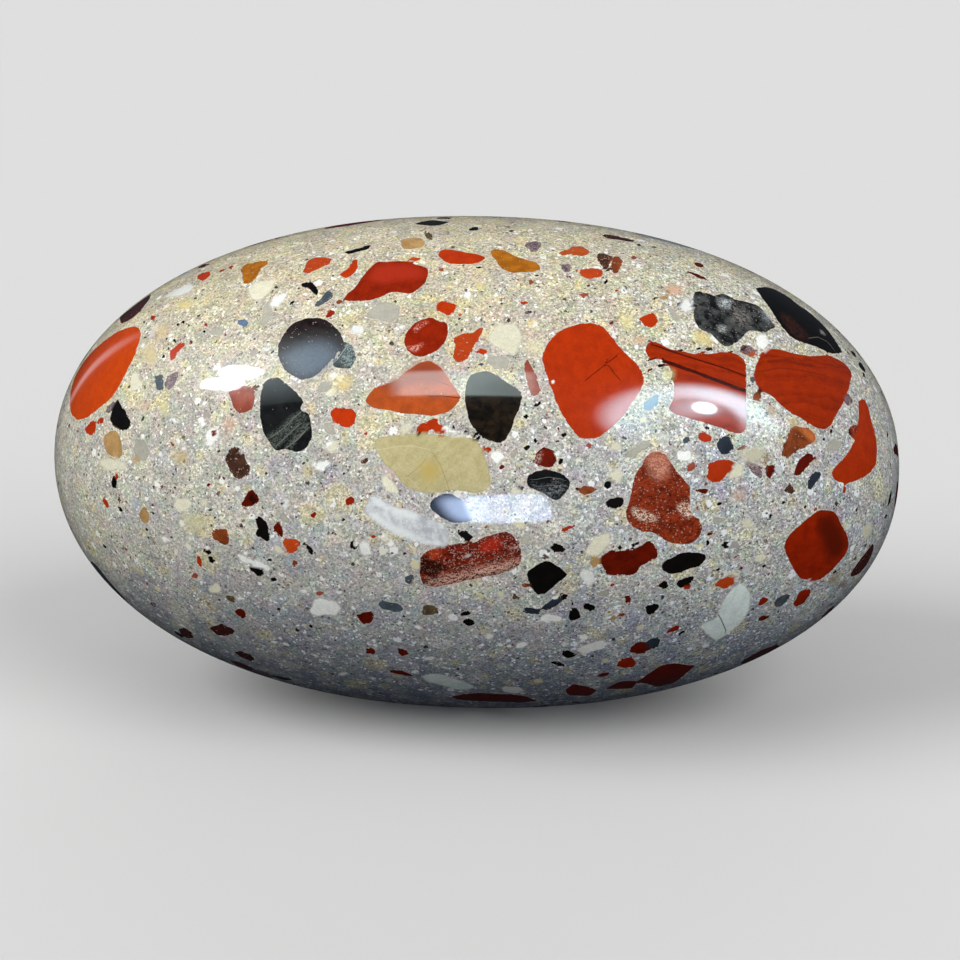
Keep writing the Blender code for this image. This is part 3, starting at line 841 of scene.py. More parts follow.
pebbleFacts = {
    "seed": 11,
    "roundings": 1,  # times that the corners of an outline are cut
    "patchRoundings": 2,
    "cut": 0.14,  # share of a side that a cut takes off at each end
    "toneSpread": 0.10,  # how far pebbles of one kind differ in brightness
    "bandSpread": 50,  # how far apart in the band pattern pebbles start, in millimetres
    "smallest": 0.55,  # half a width, in millimetres, below which a pebble is moved onto a point of the skin
    "margin": 2.5,  # how far round a pebble or a patch the skin knows of it, in millimetres
    "lineMargin": 2.0,
    "inwardSteps": 24,  # steps from a pixel to the middle of its outline, and how many of them are tried
    "inwardTries": 12,
    "unseen": 0.12,  # how squarely the skin may face the camera where pebbles are strewn
    "strewn": [  # pebbles where the photo doesn't reach: how many, and their half lengths from and to
        {"count": 24, "from": 4.2, "to": 9.0},
        {"count": 44, "from": 2.4, "to": 4.2},
        {"count": 130, "from": 1.3, "to": 2.4},
        {"count": 420, "from": 0.7, "to": 1.3},
    ],
    "strewnTries": 12,  # times the count, after which no more places are tried
    "strewnThin": (0.45, 0.95),  # width as a share of the length, from and to
    "strewnCorners": (6, 10),
    "strewnUneven": 0.32,
    "gap": 0.3,
    "chipAreas": (90, 300),  # length times width in pixels, above which a chip has more corners
    "chipCorners": (5, 6, 10),
    "chipUneven": 0.26,
    "chipGrowth": 1.12,  # makes up for what the straight sides of a chip take off its oval
    "cornerSpread": 0.3,  # how far a corner of an uneven oval strays from its even place
    "chipped": (0.22, 0.10),  # how far the edges of small and of large pebbles are chipped, in millimetres
    "large": 1.5,  # half a width, in millimetres, from which a pebble counts as large
    "steep": 0.2,  # below this the skin faces too nearly up or down to take its axes from upright
}
outside, farOff = -9.0, 99.0  # depth and gap at first, in millimetres, where nothing is near


# Where the line of sight through a pixel of the photo meets the stone. A pixel just off it is drawn inwards
def onStone(stone, pixel, inward):
    for attempt in range(pebbleFacts["inwardTries"]):
        x, y = (a + (b - a) * attempt / pebbleFacts["inwardSteps"] for a, b in zip(pixel, inward))
        way = lookout["right"] * (x - lookout["middle"]) + lookout["up"] * (lookout["middle"] - y)
        way -= lookout["back"] * lookout["focal"]
        hit, place, normal, _ = stone.ray_cast(lookout["eye"], way.normalized())
        if hit:
            return np.array(place) / mm, np.array(normal)
    return None


# Corners cut off an outline, time after time, until it runs round
def rounded(outline, times):
    outline, cut = np.asarray(outline, float), pebbleFacts["cut"]
    for _ in range(times):
        ahead = np.roll(outline, -1, axis=0)
        ends = [(1 - cut) * outline + cut * ahead, cut * outline + (1 - cut) * ahead]
        outline = np.stack(ends, axis=1).reshape(-1, 2)
    return outline


# An uneven oval about a middle
def oval(random, length, width, tilt, corners, unevenness):
    spread = pebbleFacts["cornerSpread"]
    turn = (np.arange(corners) + random.uniform(-spread, spread, corners)) * 2 * math.pi / corners
    reach = 0.5 + random.uniform(-0.5, 0.5, corners) * unevenness
    x, y = reach * length * np.cos(turn), reach * width * np.sin(turn)
    c, s = math.cos(math.radians(tilt)), math.sin(math.radians(tilt))
    return np.stack([c * x - s * y, s * x + c * y], axis=1)


# How far each spot is from a run of straight stretches, and on which side of the nearest
def awayFrom(start, end, spots):
    run = end - start
    away = spots[:, None, :] - start[None]
    along = np.clip((away * run).sum(2) / np.maximum((run * run).sum(1), 1e-9), 0, 1)
    gaps = np.sqrt(((away - along[:, :, None] * run) ** 2).sum(2))
    nearest = gaps.argmin(1)
    rows = np.arange(len(spots))
    side = run[nearest, 0] * away[rows, nearest, 1] - run[nearest, 1] * away[rows, nearest, 0]
    return gaps[rows, nearest], np.where(side < 0, -1.0, 1.0)


# How far each spot is inside an outline, and less than nothing outside it
def depthInside(outline, spots):
    start, end = outline, np.roll(outline, -1, axis=0)
    gap, _ = awayFrom(start, end, spots)
    crosses = (start[:, 1] > spots[:, None, 1]) != (end[:, 1] > spots[:, None, 1])
    rise = np.where(abs(end - start)[:, 1] < 1e-9, 1e-9, (end - start)[:, 1])
    reach = start[:, 0] + (spots[:, None, 1] - start[:, 1]) * (end - start)[:, 0] / rise
    inside = (crosses & (spots[:, None, 0] < reach)).sum(1) % 2 == 1
    return np.where(inside, gap, -gap)


# Two directions along the skin at a place on it
def skinAxes(normal):
    across = np.cross((0.0, 0.0, 1.0), normal)
    if np.linalg.norm(across) < pebbleFacts["steep"]:
        across = np.cross((0.0, 1.0, 0.0), normal)
    across = across / np.linalg.norm(across)
    return across, np.cross(normal, across)


# Places away from a middle, as they lie in the plane of the skin's axes
def inPlane(away, normal):
    first, second = skinAxes(normal)
    return np.stack([away @ first, away @ second], axis=1)


# How far an outline or a line reaches from its middle
def reachOf(corners):
    return np.sqrt((corners ** 2).sum(1)).max()


# What each point of the skin knows of the pebbles
class PebbleMap:
    def __init__(self, stone):
        self.stone = stone
        mesh = stone.data
        count = len(mesh.vertices)
        self.spots = np.zeros(count * 3, np.float32)
        mesh.vertices.foreach_get("co", self.spots)
        self.spots = self.spots.reshape(-1, 3).astype(float) / mm
        self.values = {name: np.zeros(count) for name in (
            "mottle", "bands", "grains", "bandPlace", "chipped", "flecks", "lineGap", "lineWidth")}
        self.values["depth"] = np.full(count, outside)
        self.values["patchDepth"] = np.full(count, -farOff)
        self.values["lineAway"] = np.full(count, farOff)
        self.colours = {name: np.zeros((count, 3)) for name in ("tone", "second", "patchTone", "lineTone")}
        self.random = np.random.default_rng(pebbleFacts["seed"])
        self.laid = []

    # Pixels of the photo as places in the plane of two skin axes, in millimetres
    def flatten(self, pixels):
        inward = np.mean(pixels, axis=0)
        found = [item for item in (onStone(self.stone, pixel, inward) for pixel in pixels) if item]
        places = np.array([item[0] for item in found])
        normal = np.mean([item[1] for item in found], axis=0)
        normal = normal / np.linalg.norm(normal)
        middle = places.mean(0)
        return middle, normal, inPlane(places - middle, normal)

    # The skin's points near a place, and where they lie in its plane
    def around(self, middle, normal, radius):
        near = np.nonzero(((self.spots - middle) ** 2).sum(1) < radius ** 2)[0]
        return near, inPlane(self.spots[near] - middle, normal)

    def lay(self, kind, middle, normal, outline, bandTilt=None):
        radius = reachOf(outline)
        half = depthInside(outline, np.zeros((1, 2)))[0]
        if half < pebbleFacts["smallest"]:
            middle = self.spots[((self.spots - middle) ** 2).sum(1).argmin()]
        near, flat = self.around(middle, normal, radius + pebbleFacts["margin"])
        depth = depthInside(outline, flat)
        better = depth > self.values["depth"][near]
        near, depth, flat = near[better], depth[better], flat[better]
        facts = kinds[kind]
        turn = self.random.uniform(0, math.pi) if bandTilt is None else math.radians(90 + bandTilt)
        bright = 1 + self.random.uniform(-1, 1) * pebbleFacts["toneSpread"]
        self.values["depth"][near] = depth
        self.values["chipped"][near] = pebbleFacts["chipped"][int(half > pebbleFacts["large"])]
        for name in ("mottle", "bands", "grains"):
            self.values[name][near] = facts[name]
        bandStart = self.random.uniform(0, pebbleFacts["bandSpread"])
        self.values["bandPlace"][near] = flat @ (math.cos(turn), math.sin(turn)) + bandStart
        for name in ("tone", "second"):
            self.colours[name][near] = np.array(light(*facts[name])) * bright
        self.laid.append((*middle, radius))

    def laySeen(self, kind, pixels, roundings=pebbleFacts["roundings"]):
        middle, normal, flat = self.flatten(pixels)
        self.lay(kind, middle, normal, rounded(flat, roundings), kinds[kind].get("bandTilt"))

    def layChip(self, kind, x, y, length, width, tilt):
        size = sum(length * width > area for area in pebbleFacts["chipAreas"])
        corners = pebbleFacts["chipCorners"][size]
        pixels = oval(self.random, length, width, tilt, corners, pebbleFacts["chipUneven"])
        self.laySeen(kind, pixels * pebbleFacts["chipGrowth"] * (1, -1) + (x, y), 0)

    def layPatch(self, facts):
        middle, normal, flat = self.flatten(facts["corners"])
        outline = rounded(flat, pebbleFacts["patchRoundings"])
        near, flat = self.around(middle, normal, reachOf(outline) + pebbleFacts["margin"])
        depth = depthInside(outline, flat) / facts["soft"]
        better = depth > self.values["patchDepth"][near]
        near, depth = near[better], depth[better]
        self.values["patchDepth"][near] = depth
        self.values["flecks"][near] = facts["flecks"]
        self.colours["patchTone"][near] = light(*facts["tone"])

    # Lines are kept as the gap to the nearest one, with a sign that changes at each line
    def layLines(self, facts):
        middle, normal, flat = self.flatten([pixel for line in facts["lines"] for pixel in line])
        near, spots = self.around(middle, normal, reachOf(flat) + pebbleFacts["lineMargin"])
        away, sign, used = np.full(len(near), farOff), np.ones(len(near)), 0
        for line in facts["lines"]:
            line = flat[used:used + len(line)]
            used += len(line)
            gap, side = awayFrom(line[:-1], line[1:], spots)
            away, sign = np.minimum(away, gap), sign * side
        better = away < self.values["lineAway"][near]
        near, away, sign = near[better], away[better], sign[better]
        self.values["lineAway"][near] = away
        self.values["lineGap"][near] = away * sign
        self.values["lineWidth"][near] = facts["width"]
        self.colours["lineTone"][near] = light(*facts["tone"])

    # Pebbles of the same kinds and sizes where the photo doesn't reach
    def strew(self):
        mesh = self.stone.data
        faces = len(mesh.polygons)
        centres, normals, areas = np.zeros(faces * 3), np.zeros(faces * 3), np.zeros(faces)
        for name, values in (("center", centres), ("normal", normals), ("area", areas)):
            mesh.polygons.foreach_get(name, values)
        centres, normals = centres.reshape(-1, 3) / mm, normals.reshape(-1, 3)
        sight = np.array(lookout["eye"]) / mm - centres
        facing = (normals * sight).sum(1) / np.sqrt((sight ** 2).sum(1))
        chances = areas * (facing < pebbleFacts["unseen"])
        names = list(kinds)
        shares = np.array([kinds[name]["share"] for name in names], float)
        fewest, most = pebbleFacts["strewnCorners"]
        for size in pebbleFacts["strewn"]:
            made = tried = 0
            while made < size["count"] and tried < size["count"] * pebbleFacts["strewnTries"]:
                tried += 1
                face = self.random.choice(faces, p=chances / chances.sum())
                half = size["from"] * (size["to"] / size["from"]) ** self.random.uniform()
                taken = np.array(self.laid)
                room = np.sqrt(((taken[:, :3] - centres[face]) ** 2).sum(1)) - taken[:, 3]
                if room.min() < half + pebbleFacts["gap"]:
                    continue
                thin = self.random.uniform(*pebbleFacts["strewnThin"])
                corners = int(self.random.integers(fewest, most + 1))
                outline = oval(self.random, 2 * half, 2 * half * thin, self.random.uniform(0, 180), corners,
                               pebbleFacts["strewnUneven"])
                kind = names[self.random.choice(len(names), p=shares / shares.sum())]
                self.lay(kind, centres[face], normals[face], rounded(outline, pebbleFacts["roundings"]))
                made += 1

    def save(self):
        mesh = self.stone.data
        for name, value in self.values.items():
            mesh.attributes.new(name, "FLOAT", "POINT").data.foreach_set("value", value.astype(np.float32))
        for name, value in self.colours.items():
            whole = np.concatenate([value, np.ones((len(value), 1))], axis=1)
            mesh.attributes.new(name, "FLOAT_COLOR", "POINT").data.foreach_set(
                "color", whole.astype(np.float32).ravel())


# The finish: pebbles set in a sandy ground mass, all under one polish. Sizes are in millimetres, and a scale
# is how often a pattern comes in one of them. Between says where a pattern starts to show, and where it
# shows fully
finishFacts = {
    # Makes edges uneven, and bends the patterns
    "wobble": {"noise": {"scale": 1.5, "detail": 1.0}, "warp": 0.8},
    "broad": {"noise": {"scale": 0.07, "rough": 0.6}, "hues": [
        (0.30, light(178, 177, 180)), (0.45, light(190, 189, 187)), (0.60, light(198, 196, 188)),
        (0.75, light(200, 196, 182))]},
    # Tints of the ground mass, mostly painted light and shade: the axis, from where to where, how much of it
    # at the end, the colour, and whether that is mixed in or multiplied
    "underLightShadeTints": [
        # Creamier towards the top: partly the ground's own cream, partly painted top light
        ("height", 46, 84, 0.8, light(204, 193, 160), "MIX"),
        # Painted shade: darker bluish grey towards the bottom
        ("height", 42, 2, 0.85, light(108, 118, 134), "MIX"),
    ],
    "overLightShadeTints": [
        # Painted shade: cooler and darker towards the bottom
        ("height", 46, 6, 1.0, (0.94, 0.99, 1.08), "MULTIPLY"),
        # Painted light: lighter and warmer towards the left end
        ("along", -20, -60, 1.0, (1.06, 1.05, 0.98), "MULTIPLY"),
        # Cooler and a little lighter towards the right end
        ("along", 0, 45, 1.0, (1.01, 1.05, 1.10), "MULTIPLY"),
    ],
    "blush": {"noise": {"scale": 0.42, "detail": 1.0, "rough": 0.6}, "share": 0.20},
    "cloud": {"noise": {"scale": 0.26, "detail": 4.0, "rough": 0.6}, "tones": [
        (0.34, (0.83, 0.84, 0.86)), (0.50, (0.98, 0.98, 0.98)), (0.66, (1.14, 1.12, 1.04))]},
    # How thickly the loose grains lie at least, and what clusters, the underside and the right end add to
    # that: from where to where, and how much
    "crowd": {"least": 0.3, "noise": {"scale": 0.34}, "clusters": (0.38, 0.62, 1.3), "low": (42, 4, 0.3),
              "right": (5, 45, 0.60)},
    "softPatches": [
        {"size": 4.6, "share": 0.55, "strength": 0.45},
        {"size": 2.1, "share": 0.5, "strength": 0.4},
    ],
    "patchBetween": (0.62, 0.36),
    "patchHues": [
        (0.0, light(220, 206, 146)), (0.2, light(178, 174, 172)), (0.5, light(216, 211, 196)),
        (0.8, light(190, 180, 170))],
    "sand": [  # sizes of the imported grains, with the darkest and lightest of each
        {"size": 0.32, "dark": 0.48, "pale": 1.46},
        {"size": 0.19, "dark": 0.56, "pale": 1.39},
    ],
    "sandShare": {"left": 0.67, "right": 0.86, "from": 0, "to": 45},  # how much of that shows, left and right
    "paleBlue": 0.98,  # blue in the lightest grains, as a share
    # Single grains: the room that each has, how many there are, and their half size as shares of the room
    "loose": [
        {"room": 2.4, "share": 0.44, "from": 0.12, "to": 0.34, "soft": 0.12, "hues": [
            (0.0, light(246, 246, 242)), (0.42, light(234, 231, 214)), (0.60, light(222, 213, 170)),
            (0.68, light(204, 203, 202)), (0.86, light(166, 156, 148))]},
        {"room": 1.1, "share": 0.52, "from": 0.14, "to": 0.36, "soft": 0.06, "hues": [
            (0.0, light(250, 250, 248)), (0.44, light(234, 231, 216)), (0.62, light(138, 138, 142)),
            (0.82, light(216, 205, 156)), (0.90, light(134, 118, 104))]},
        {"room": 0.58, "share": 0.62, "from": 0.18, "to": 0.40, "soft": 0.04, "hues": [
            (0.0, light(255, 255, 254)), (0.34, light(238, 235, 222)), (0.50, light(96, 95, 99)),
            (0.72, light(206, 194, 146)), (0.79, light(36, 34, 36)), (0.88, light(104, 54, 42))]},
        {"room": 1.6, "share": 0.14, "from": 0.10, "to": 0.26, "soft": 0.04, "hues": [
            (0.0, light(26, 24, 24)), (0.40, light(70, 26, 16)), (0.62, light(150, 44, 18)),
            (0.82, light(96, 84, 74))]},
    ],
    "looseEdge": -0.4,  # where a grain starts to show, as a share of its softness
    "looseShare": 0.92,
    "edgeWobble": 0.09,  # how far grains bite into a pebble's edge
    "edgeSoftness": 0.05,
    "chipSize": 0.7,
    "chipBite": 1.2,
    "rim": {"reach": 0.30, "tone": light(232, 224, 212), "share": 0.32, "brink": 0.16, "dark": 0.28},
    "mottle": {"noise": {"scale": 0.55, "detail": 4.0, "rough": 0.62}, "between": (0.36, 0.66)},
    "bands": {"scale": 0.9, "detail": 3.0, "between": (0.42, 0.66), "noise": {"scale": 0.25}, "bend": 3.0},
    "fine": {"size": 0.18, "tones": [(0.0, (0.91, 0.91, 0.91)), (1.0, (1.09, 1.09, 1.09))]},
    "grit": {"stretch": (1.0, 2.0, 2.0), "noise": {"scale": 1.7, "detail": 3.0, "rough": 0.7},
             "between": (0.50, 0.40), "grains": (0.02, 0.08), "share": 0.7, "tone": light(34, 12, 8)},
    "grains": {"noise": {"scale": 1.3}, "between": (0.34, 0.6), "crowd": 1.2, "share": 0.5,
               "tone": light(214, 186, 170)},
    "flecks": {"stretch": (1.6, 3.4, 3.4), "noise": {"scale": 1.0, "detail": 3.0, "rough": 0.7}, "fine": 0.25,
               "between": (0.56, 0.74)},
    "lines": {"thin": 0.6, "thick": 0.8, "between": (-0.05, 0.07), "reach": 0.7, "share": 0.9},
    "groundRough": 0.34,
    "pebbleRough": 0.16,
    "roughSpread": 0.12,  # how far single grains differ in roughness
    "coatRough": 0.035,
    "coatIndex": 1.54,  # how strongly the polish bends light, and the stone under it
    "stoneIndex": 1.5,
    "stoneGloss": 0.1,  # how much the stone shines under the polish
    "groundPolish": 0.6,  # the ground mass takes the polish less well than the pebbles
    "polishSpread": 0.5,  # how far single grains differ in polish
}


# The sandy ground mass, creamier above as painted top light and darker bluish grey below as painted shade.
# Gives its colour and a number that each grain has
def groundMass(board, facts, place, warped, axes):
    def tinted(ground, tints):
        for axis, start, end, share, tone, blend in tints:
            ground = board.mix(axes[axis].rise(start, end) * share, ground, tone, blend)
        return ground

    def added(value, start, end, much):
        return value.rise(start, end) * much

    broad, blush, cloud, crowd = (facts[name] for name in ("broad", "blush", "cloud", "crowd"))
    ground = board.ramp(board.noise(place, **broad["noise"]), broad["hues"])
    # Painted top light and painted shade on the underside
    ground = tinted(ground, facts["underLightShadeTints"])
    hues = board.noise(place, **blush["noise"], out="Color")
    ground = board.mix(blush["share"], ground, hues, "OVERLAY")
    clouds = board.ramp(board.noise(place, **cloud["noise"]), cloud["tones"])
    ground = board.mix(1.0, ground, clouds, "MULTIPLY")

    crowded = crowd["least"] + added(board.noise(place, **crowd["noise"]), *crowd["clusters"])
    crowded = crowded + added(axes["height"], *crowd["low"])
    crowded = crowded + added(axes["along"], *crowd["right"])
    for patch in facts["softPatches"]:
        hues, away = board.cells(warped, patch["size"], out=("Color", "Distance"))
        hue, chance, _ = board.apart(hues)
        held = (chance < patch["share"]) * away.rise(*facts["patchBetween"]) * patch["strength"]
        ground = board.mix(held, ground, board.ramp(hue, facts["patchHues"], "CONSTANT"))

    sandShare = facts["sandShare"]
    rightHalf = axes["along"].rise(sandShare["from"], sandShare["to"])
    share = sandShare["left"] + rightHalf * (sandShare["right"] - sandShare["left"])
    for grain in facts["sand"]:
        hue, _, each = board.apart(board.cells(place, grain["size"]))
        dark, pale = grain["dark"], grain["pale"]
        tones = [(0.0, (dark, dark, dark)), (1.0, (pale, pale, pale * facts["paleBlue"]))]
        ground = board.mix(share, ground, board.ramp(hue, tones), "MULTIPLY")
    for grain in facts["loose"]:
        hues, away = board.cells(warped, grain["room"], out=("Color", "Distance"))
        hue, chance, size = board.apart(hues)
        reach = grain["from"] + size * (grain["to"] - grain["from"])
        soft = grain["soft"] / grain["room"]
        held = (chance < crowded * grain["share"]) * (reach - away).rise(facts["looseEdge"] * soft, soft)
        ground = board.mix(held * facts["looseShare"], ground, board.ramp(hue, grain["hues"], "CONSTANT"))
    # Painted shade at the bottom and painted light at the left end
    return tinted(ground, facts["overLightShadeTints"]), each


# The pebbles, with their mottling, bands, grit, grains, dark brink and lines. Gives their colour and how much
# the patches show over all
def pebbleColour(board, facts, place, depth):
    mottle, bands, fine, grit, grains, flecks, lines = (facts[name] for name in (
        "mottle", "bands", "fine", "grit", "grains", "flecks", "lines"))
    mottled = board.noise(place, **mottle["noise"]).rise(*mottle["between"])
    bandPlace = board.read("bandPlace") + board.noise(place, **bands["noise"]) * bands["bend"]
    banded = board.put("ShaderNodeTexNoise", {"noise_dimensions": "1D"}, {
        "W": bandPlace, "Scale": bands["scale"], "Detail": bands["detail"]}).rise(*bands["between"])
    share = mottled * board.read("mottle") + banded * board.read("bands")
    tone, second = board.read("tone", "Color"), board.read("second", "Color")
    pebble = board.mix(share.maths("MINIMUM", share, 1.0), tone, second)
    shade, chance, _ = board.apart(board.cells(place, fine["size"]))
    pebble = board.mix(1.0, pebble, board.ramp(shade, fine["tones"]), "MULTIPLY")

    clump = board.noise(place, **grains["noise"])
    held = board.read("grains")
    stretched = board.vector("MULTIPLY", place, grit["stretch"])
    pits = board.noise(stretched, **grit["noise"]).rise(*grit["between"])
    pebble = board.mix(pits * held.rise(*grit["grains"]) * grit["share"], pebble, grit["tone"])
    pale = chance < held * clump.rise(*grains["between"]) * grains["crowd"]
    pebble = board.mix(pale * grains["share"], pebble, grains["tone"])
    brink = 1 - depth.rise(0.0, facts["rim"]["brink"])
    pebble = board.mix(brink * facts["rim"]["dark"], pebble, (0.0, 0.0, 0.0))

    streaky = board.vector("MULTIPLY", place, flecks["stretch"])
    fleck = (board.noise(streaky, **flecks["noise"]) + chance * flecks["fine"]).rise(*flecks["between"])
    patch = board.read("patchDepth").rise(-1.0, 1.0) * (1 - board.read("flecks") * (1 - fleck))
    width = board.read("lineWidth") * (lines["thin"] + clump * lines["thick"])
    line = (width / 2 - abs(board.read("lineGap"))).rise(*lines["between"])
    line = line * (board.read("lineAway") < lines["reach"])
    return board.mix(line * lines["share"], pebble, board.read("lineTone", "Color")), patch


def stoneFinish(facts):
    material = bpy.data.materials.new("polishedConglomerate")
    material.use_nodes = True
    board = Board(material.node_tree)
    place = board.scaled(board.put("ShaderNodeTexCoord", None, None, out="Object"), 1 / mm)
    along, _, height = board.apart(place)
    wobble = board.noise(place, **facts["wobble"]["noise"], out="Color")
    bend = board.scaled(board.vector("SUBTRACT", wobble, (0.5, 0.5, 0.5)), facts["wobble"]["warp"])
    warped = board.vector("ADD", place, bend)
    ground, each = groundMass(board, facts, place, warped, {"along": along, "height": height})

    # A pebble's edge is chipped, with a pale rim of cement round it
    bite, _, _ = board.apart(wobble)
    chip, _, _ = board.apart(board.cells(warped, facts["chipSize"]))
    depth = board.read("depth") + (bite - 0.5) * (2 * facts["edgeWobble"])
    depth = depth + (chip - 0.5) * board.read("chipped") * facts["chipBite"]
    inside = depth.rise(-facts["edgeSoftness"], facts["edgeSoftness"])
    rim = facts["rim"]
    ground = board.mix(depth.rise(-rim["reach"], 0.0) * rim["share"], ground, rim["tone"])
    pebble, patch = pebbleColour(board, facts, place, depth)
    colour = board.mix(inside, ground, pebble)
    colour = board.mix(patch, colour, board.read("patchTone", "Color"))

    rough = facts["groundRough"] + (each - 0.5) * facts["roughSpread"]
    rough = rough + inside * (facts["pebbleRough"] - rough)
    polish = facts["groundPolish"] + (each - 0.5) * facts["polishSpread"]
    polish = polish + inside * (1 - polish)
    shader = board.put("ShaderNodeBsdfPrincipled", None, {
        "Base Color": colour, "Roughness": rough, "Coat Weight": polish,
        "Coat Roughness": facts["coatRough"], "Coat IOR": facts["coatIndex"],
        "IOR": facts["stoneIndex"], "Specular IOR Level": facts["stoneGloss"]})
    board.node("ShaderNodeOutputMaterial", None, {0: shader})
    return material


stone = makeSkin(skinFacts, stoneFinish(finishFacts))
print("skin made:", len(stone.data.vertices), "points")
pebbleMap = PebbleMap(stone)
for kind, outlines in seenPebbles.items():
    for outline in outlines:
        pebbleMap.laySeen(kind, outline)
for kind, chips in seenChips.items():
    for chip in chips:
        pebbleMap.layChip(kind, *chip)
for patch in seenPatches:
    pebbleMap.layPatch(patch)
for lines in seenLines:
    pebbleMap.layLines(lines)
print("seen pebbles laid:", len(pebbleMap.laid))
pebbleMap.strew()
print("all pebbles laid:", len(pebbleMap.laid))
pebbleMap.save()

# A plain pale floor, a pale room round it, and soft light. A mirror panel shows only as a gloss on the polish
stageFacts = {
    "floorHalf": 14.0,
    "floorColour": (214, 214, 212),
    "floorRough": 0.85,
    "roomColour": (222, 224, 228),
    "roomLight": 0.43,
    "underColour": (150, 156, 168),  # what the stone's underside gets back from below
    "underLight": 0.14,
    "glossColour": (150, 160, 176),  # what the polish mirrors of the room
    "glossLight": 0.10,
    "glossUnder": 0.02,
    "skyline": (-0.25, 0.25),  # from what is under to what is above
    "suns": [  # broad soft lights, which the polish doesn't mirror
        {"name": "leftLight", "azimuth": -65, "elevation": 33, "softness": 45, "strength": 2.08},
        {"name": "rightLight", "azimuth": 50, "elevation": 35, "softness": 45, "strength": 1.60},
        {"name": "frontLight", "azimuth": 0, "elevation": 14, "softness": 50, "strength": 0.45},
        {"name": "backLight", "azimuth": 180, "elevation": 15, "softness": 60, "strength": 1.0},
    ],
    # Each panel hangs off a place on the stone, in millimetres, where the polish mirrors it. Its glows are
    # uneven rounds and boxes: middle and half size as shares of how far away it hangs, tilt in degrees, a
    # power that makes a round at 2 and a box above it, how soft the edge is, and whether its strength adds
    # to what is there or is how many times as bright that gets
    "panels": [
        {"name": "leftMirror", "from": (-37.6, -33.1, 65.7), "azimuth": -67.1, "elevation": 44.1, "away": 0.6,
         "wide": 1.6, "high": 1.1, "colour": (240, 247, 255), "glows": [
             ((0.002, 0.060), (0.095, 0.053), 17, 2.6, 0.14, "adds", 36.0),
             ((0.006, -0.045), (0.097, 0.047), 20, 2.6, 0.14, "adds", 36.0),
             ((-0.14, 0.02), (0.34, 0.19), 10, 2, 0.7, "adds", 1.1)]},
        {"name": "rightMirror", "from": (40.2, -34.2, 62.5), "azimuth": 52.1, "elevation": 40.6, "away": 0.6,
         "wide": 1.2, "high": 1.1, "colour": (202, 240, 255), "glows": [
             ((-0.06, -0.12), (0.42, 0.33), -20, 2, 0.14, "adds", 10.8),
             ((0.19, 0.03), (0.22, 0.16), -38, 2, 0.6, "times", 1.7),
             ((-0.06, -0.085), (0.205, 0.195), 0, 2, 0.2, "times", 0.12),
             ((-0.10, -0.42), (0.60, 0.30), -14, 2, 0.45, "times", 0.0),
             ((-0.04, 0.02), (0.12, 0.068), 4, 2, 0.85, "adds", 7.0),
             ((0.0155, 0.008), (0.056, 0.049), 0, 2, 0.22, "adds", 32.0)]},
        {"name": "frontMirror", "from": (8.0, -45.3, 48.1), "azimuth": 1.2, "elevation": -3.2, "away": 0.3,
         "wide": 0.6, "high": 0.4, "colour": (194, 216, 255), "glows": [
             ((-0.100, -0.01), (0.052, 0.11), 12, 3, 0.46, "adds", 14.5),
             ((0.030, 0.0), (0.130, 0.127), 7, 5, 0.08, "adds", 16.0)]},
        {"name": "topMirror", "from": (-0.6, -38.7, 66.4), "azimuth": -9.1, "elevation": 53.1, "away": 0.8,
         "wide": 2.2, "high": 1.3, "colour": (218, 238, 238), "glows": [
             ((0.03, 0.02), (0.175, 0.121), 12, 7, 0.17, "adds", 6.4),
             ((0.17, 0.0), (0.12, 0.13), 0, 2, 0.7, "times", 0.62),
             ((-0.54, 0.20), (0.24, 0.26), 0, 2, 0.8, "adds", 2.1),
             ((0.099, -0.461), (0.95, 0.4), 8.5, 10, 0.03, "times", 0.0)]},
        {"name": "endMirror", "from": (-63.4, -14.2, 64.2), "azimuth": -134.2, "elevation": 12.0, "away": 0.6,
         "wide": 0.5, "high": 0.8, "colour": (250, 250, 255), "glows": [
             ((0.03, 0.01), (0.27, 0.040), 74, 2, 0.7, "adds", 0.9)]},
    ],
}


def layFloor(facts):
    mesh = bpy.data.meshes.new("floor")
    half = facts["floorHalf"]
    corners = [(-half, -half, 0), (half, -half, 0), (half, half, 0), (-half, half, 0)]
    mesh.from_pydata(corners, [], [(0, 1, 2, 3)])
    floor = addObject("floor", mesh)
    paint = bpy.data.materials.new("floorPaint")
    paint.use_nodes = True
    board = Board(paint.node_tree)
    colour = (*light(*facts["floorColour"]), 1.0)
    shader = board.put("ShaderNodeBsdfPrincipled", None, {
        "Base Color": colour, "Roughness": facts["floorRough"], "Specular IOR Level": 0.0})
    board.node("ShaderNodeOutputMaterial", None, {0: shader})
    mesh.materials.append(paint)
    floor.visible_diffuse = floor.visible_glossy = False


def buildRoom(facts):
    room = bpy.data.worlds.new("room")
    room.use_nodes = True
    board = Board(room.node_tree)
    _, _, upward = board.apart(board.put("ShaderNodeTexCoord", None, None, out="Generated"))
    above = upward.rise(*facts["skyline"])
    glossy = board.put("ShaderNodeLightPath", None, None, out="Is Glossy Ray")
    hue = board.mix(above, light(*facts["underColour"]), light(*facts["roomColour"]))
    hue = board.mix(glossy, hue, light(*facts["glossColour"]))
    strength = facts["underLight"] + above * (facts["roomLight"] - facts["underLight"])
    mirrored = facts["glossUnder"] + above * (facts["glossLight"] - facts["glossUnder"])
    strength = strength + glossy * (mirrored - strength)
    shine = board.put("ShaderNodeBackground", None, {"Color": hue, "Strength": strength})
    board.node("ShaderNodeOutputWorld", None, {0: shine})
    bpy.context.scene.world = room


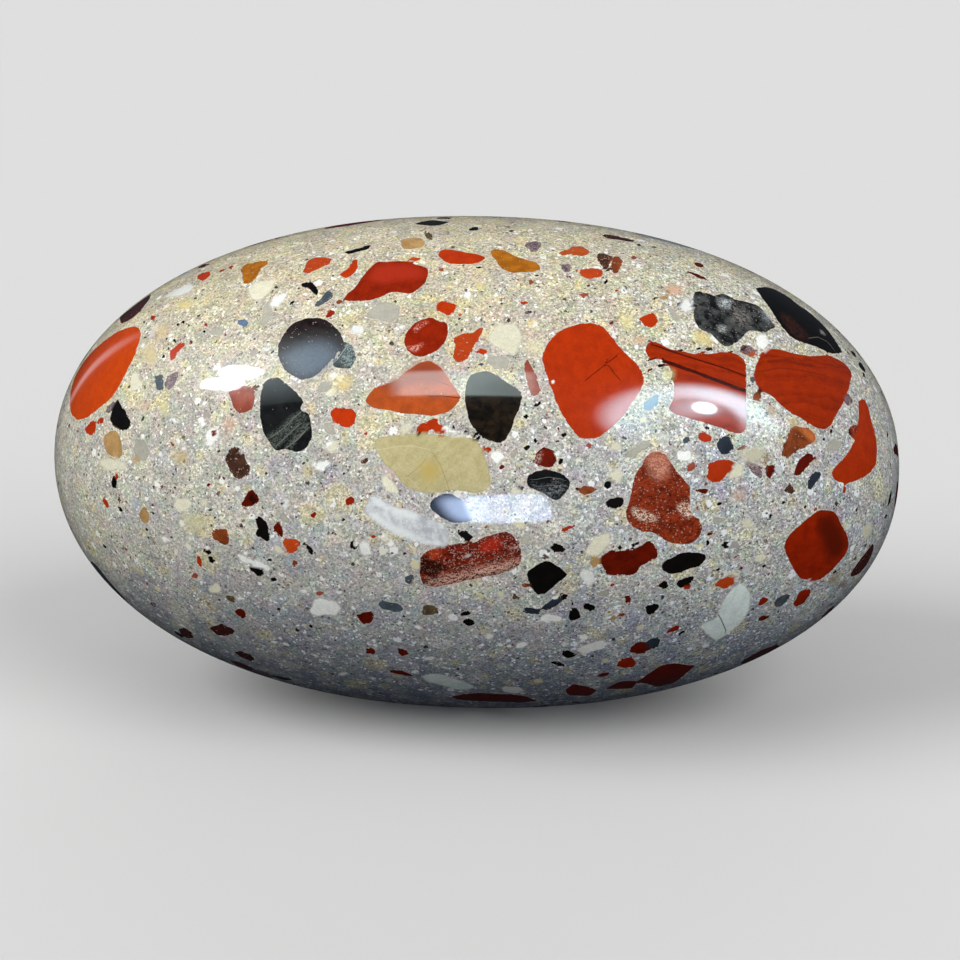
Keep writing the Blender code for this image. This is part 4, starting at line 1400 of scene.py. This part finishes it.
def hangSun(facts):
    lamp = bpy.data.lights.new(facts["name"], "SUN")
    lamp.angle, lamp.energy = math.radians(facts["softness"]), facts["strength"]
    way = wayTo(facts["azimuth"], facts["elevation"])
    sun = hang(facts["name"], lamp, way, way)
    sun.visible_camera = sun.visible_glossy = False


def hangPanel(facts):
    lamp = bpy.data.lights.new(facts["name"], "AREA")
    lamp.shape = "RECTANGLE"
    lamp.size, lamp.size_y = facts["wide"] * facts["away"], facts["high"] * facts["away"]
    lamp.energy = lamp.size * lamp.size_y * math.pi
    lamp.color = light(*facts["colour"])
    lamp.use_nodes = True
    way = wayTo(facts["azimuth"], facts["elevation"])
    middle = Vector(facts["from"]) * mm + way * facts["away"]
    panel = hang(facts["name"], lamp, middle, way)
    panel.visible_camera = panel.visible_diffuse = False

    board = Board(lamp.node_tree)
    right = Vector((0, 0, 1)).cross(way).normalized()
    place = board.put("ShaderNodeNewGeometry", None, None, out="Position")
    place = board.scaled(board.vector("SUBTRACT", place, tuple(middle)), 1 / facts["away"])
    x = board.vector("DOT_PRODUCT", place, tuple(right), out="Value")
    y = board.vector("DOT_PRODUCT", place, tuple(way.cross(right)), out="Value")
    total = 0.0
    for at, half, tilt, power, fade, change, strength in facts["glows"]:
        c, s = math.cos(math.radians(tilt)), math.sin(math.radians(tilt))
        across, along = x - at[0], y - at[1]
        first = abs((across * c + along * s) / half[0]) ** power
        second = abs((along * c - across * s) / half[1]) ** power
        reach = ((first + second) ** (1 / power)).rise(1 + fade, 1 - fade)
        if change == "times":
            total = total * (1 + reach * (strength - 1))
        else:
            total = total + reach * strength
    shine = board.put("ShaderNodeEmission", None, {"Strength": total.maths("MAXIMUM", total, 0.0)})
    board.node("ShaderNodeOutputLight", None, {0: shine})


layFloor(stageFacts)
buildRoom(stageFacts)
for sun in stageFacts["suns"]:
    hangSun(sun)
for panel in stageFacts["panels"]:
    hangPanel(panel)
bpy.context.scene.view_settings.view_transform = "Standard"
print("stage built")

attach(stone, "root")
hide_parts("stone")
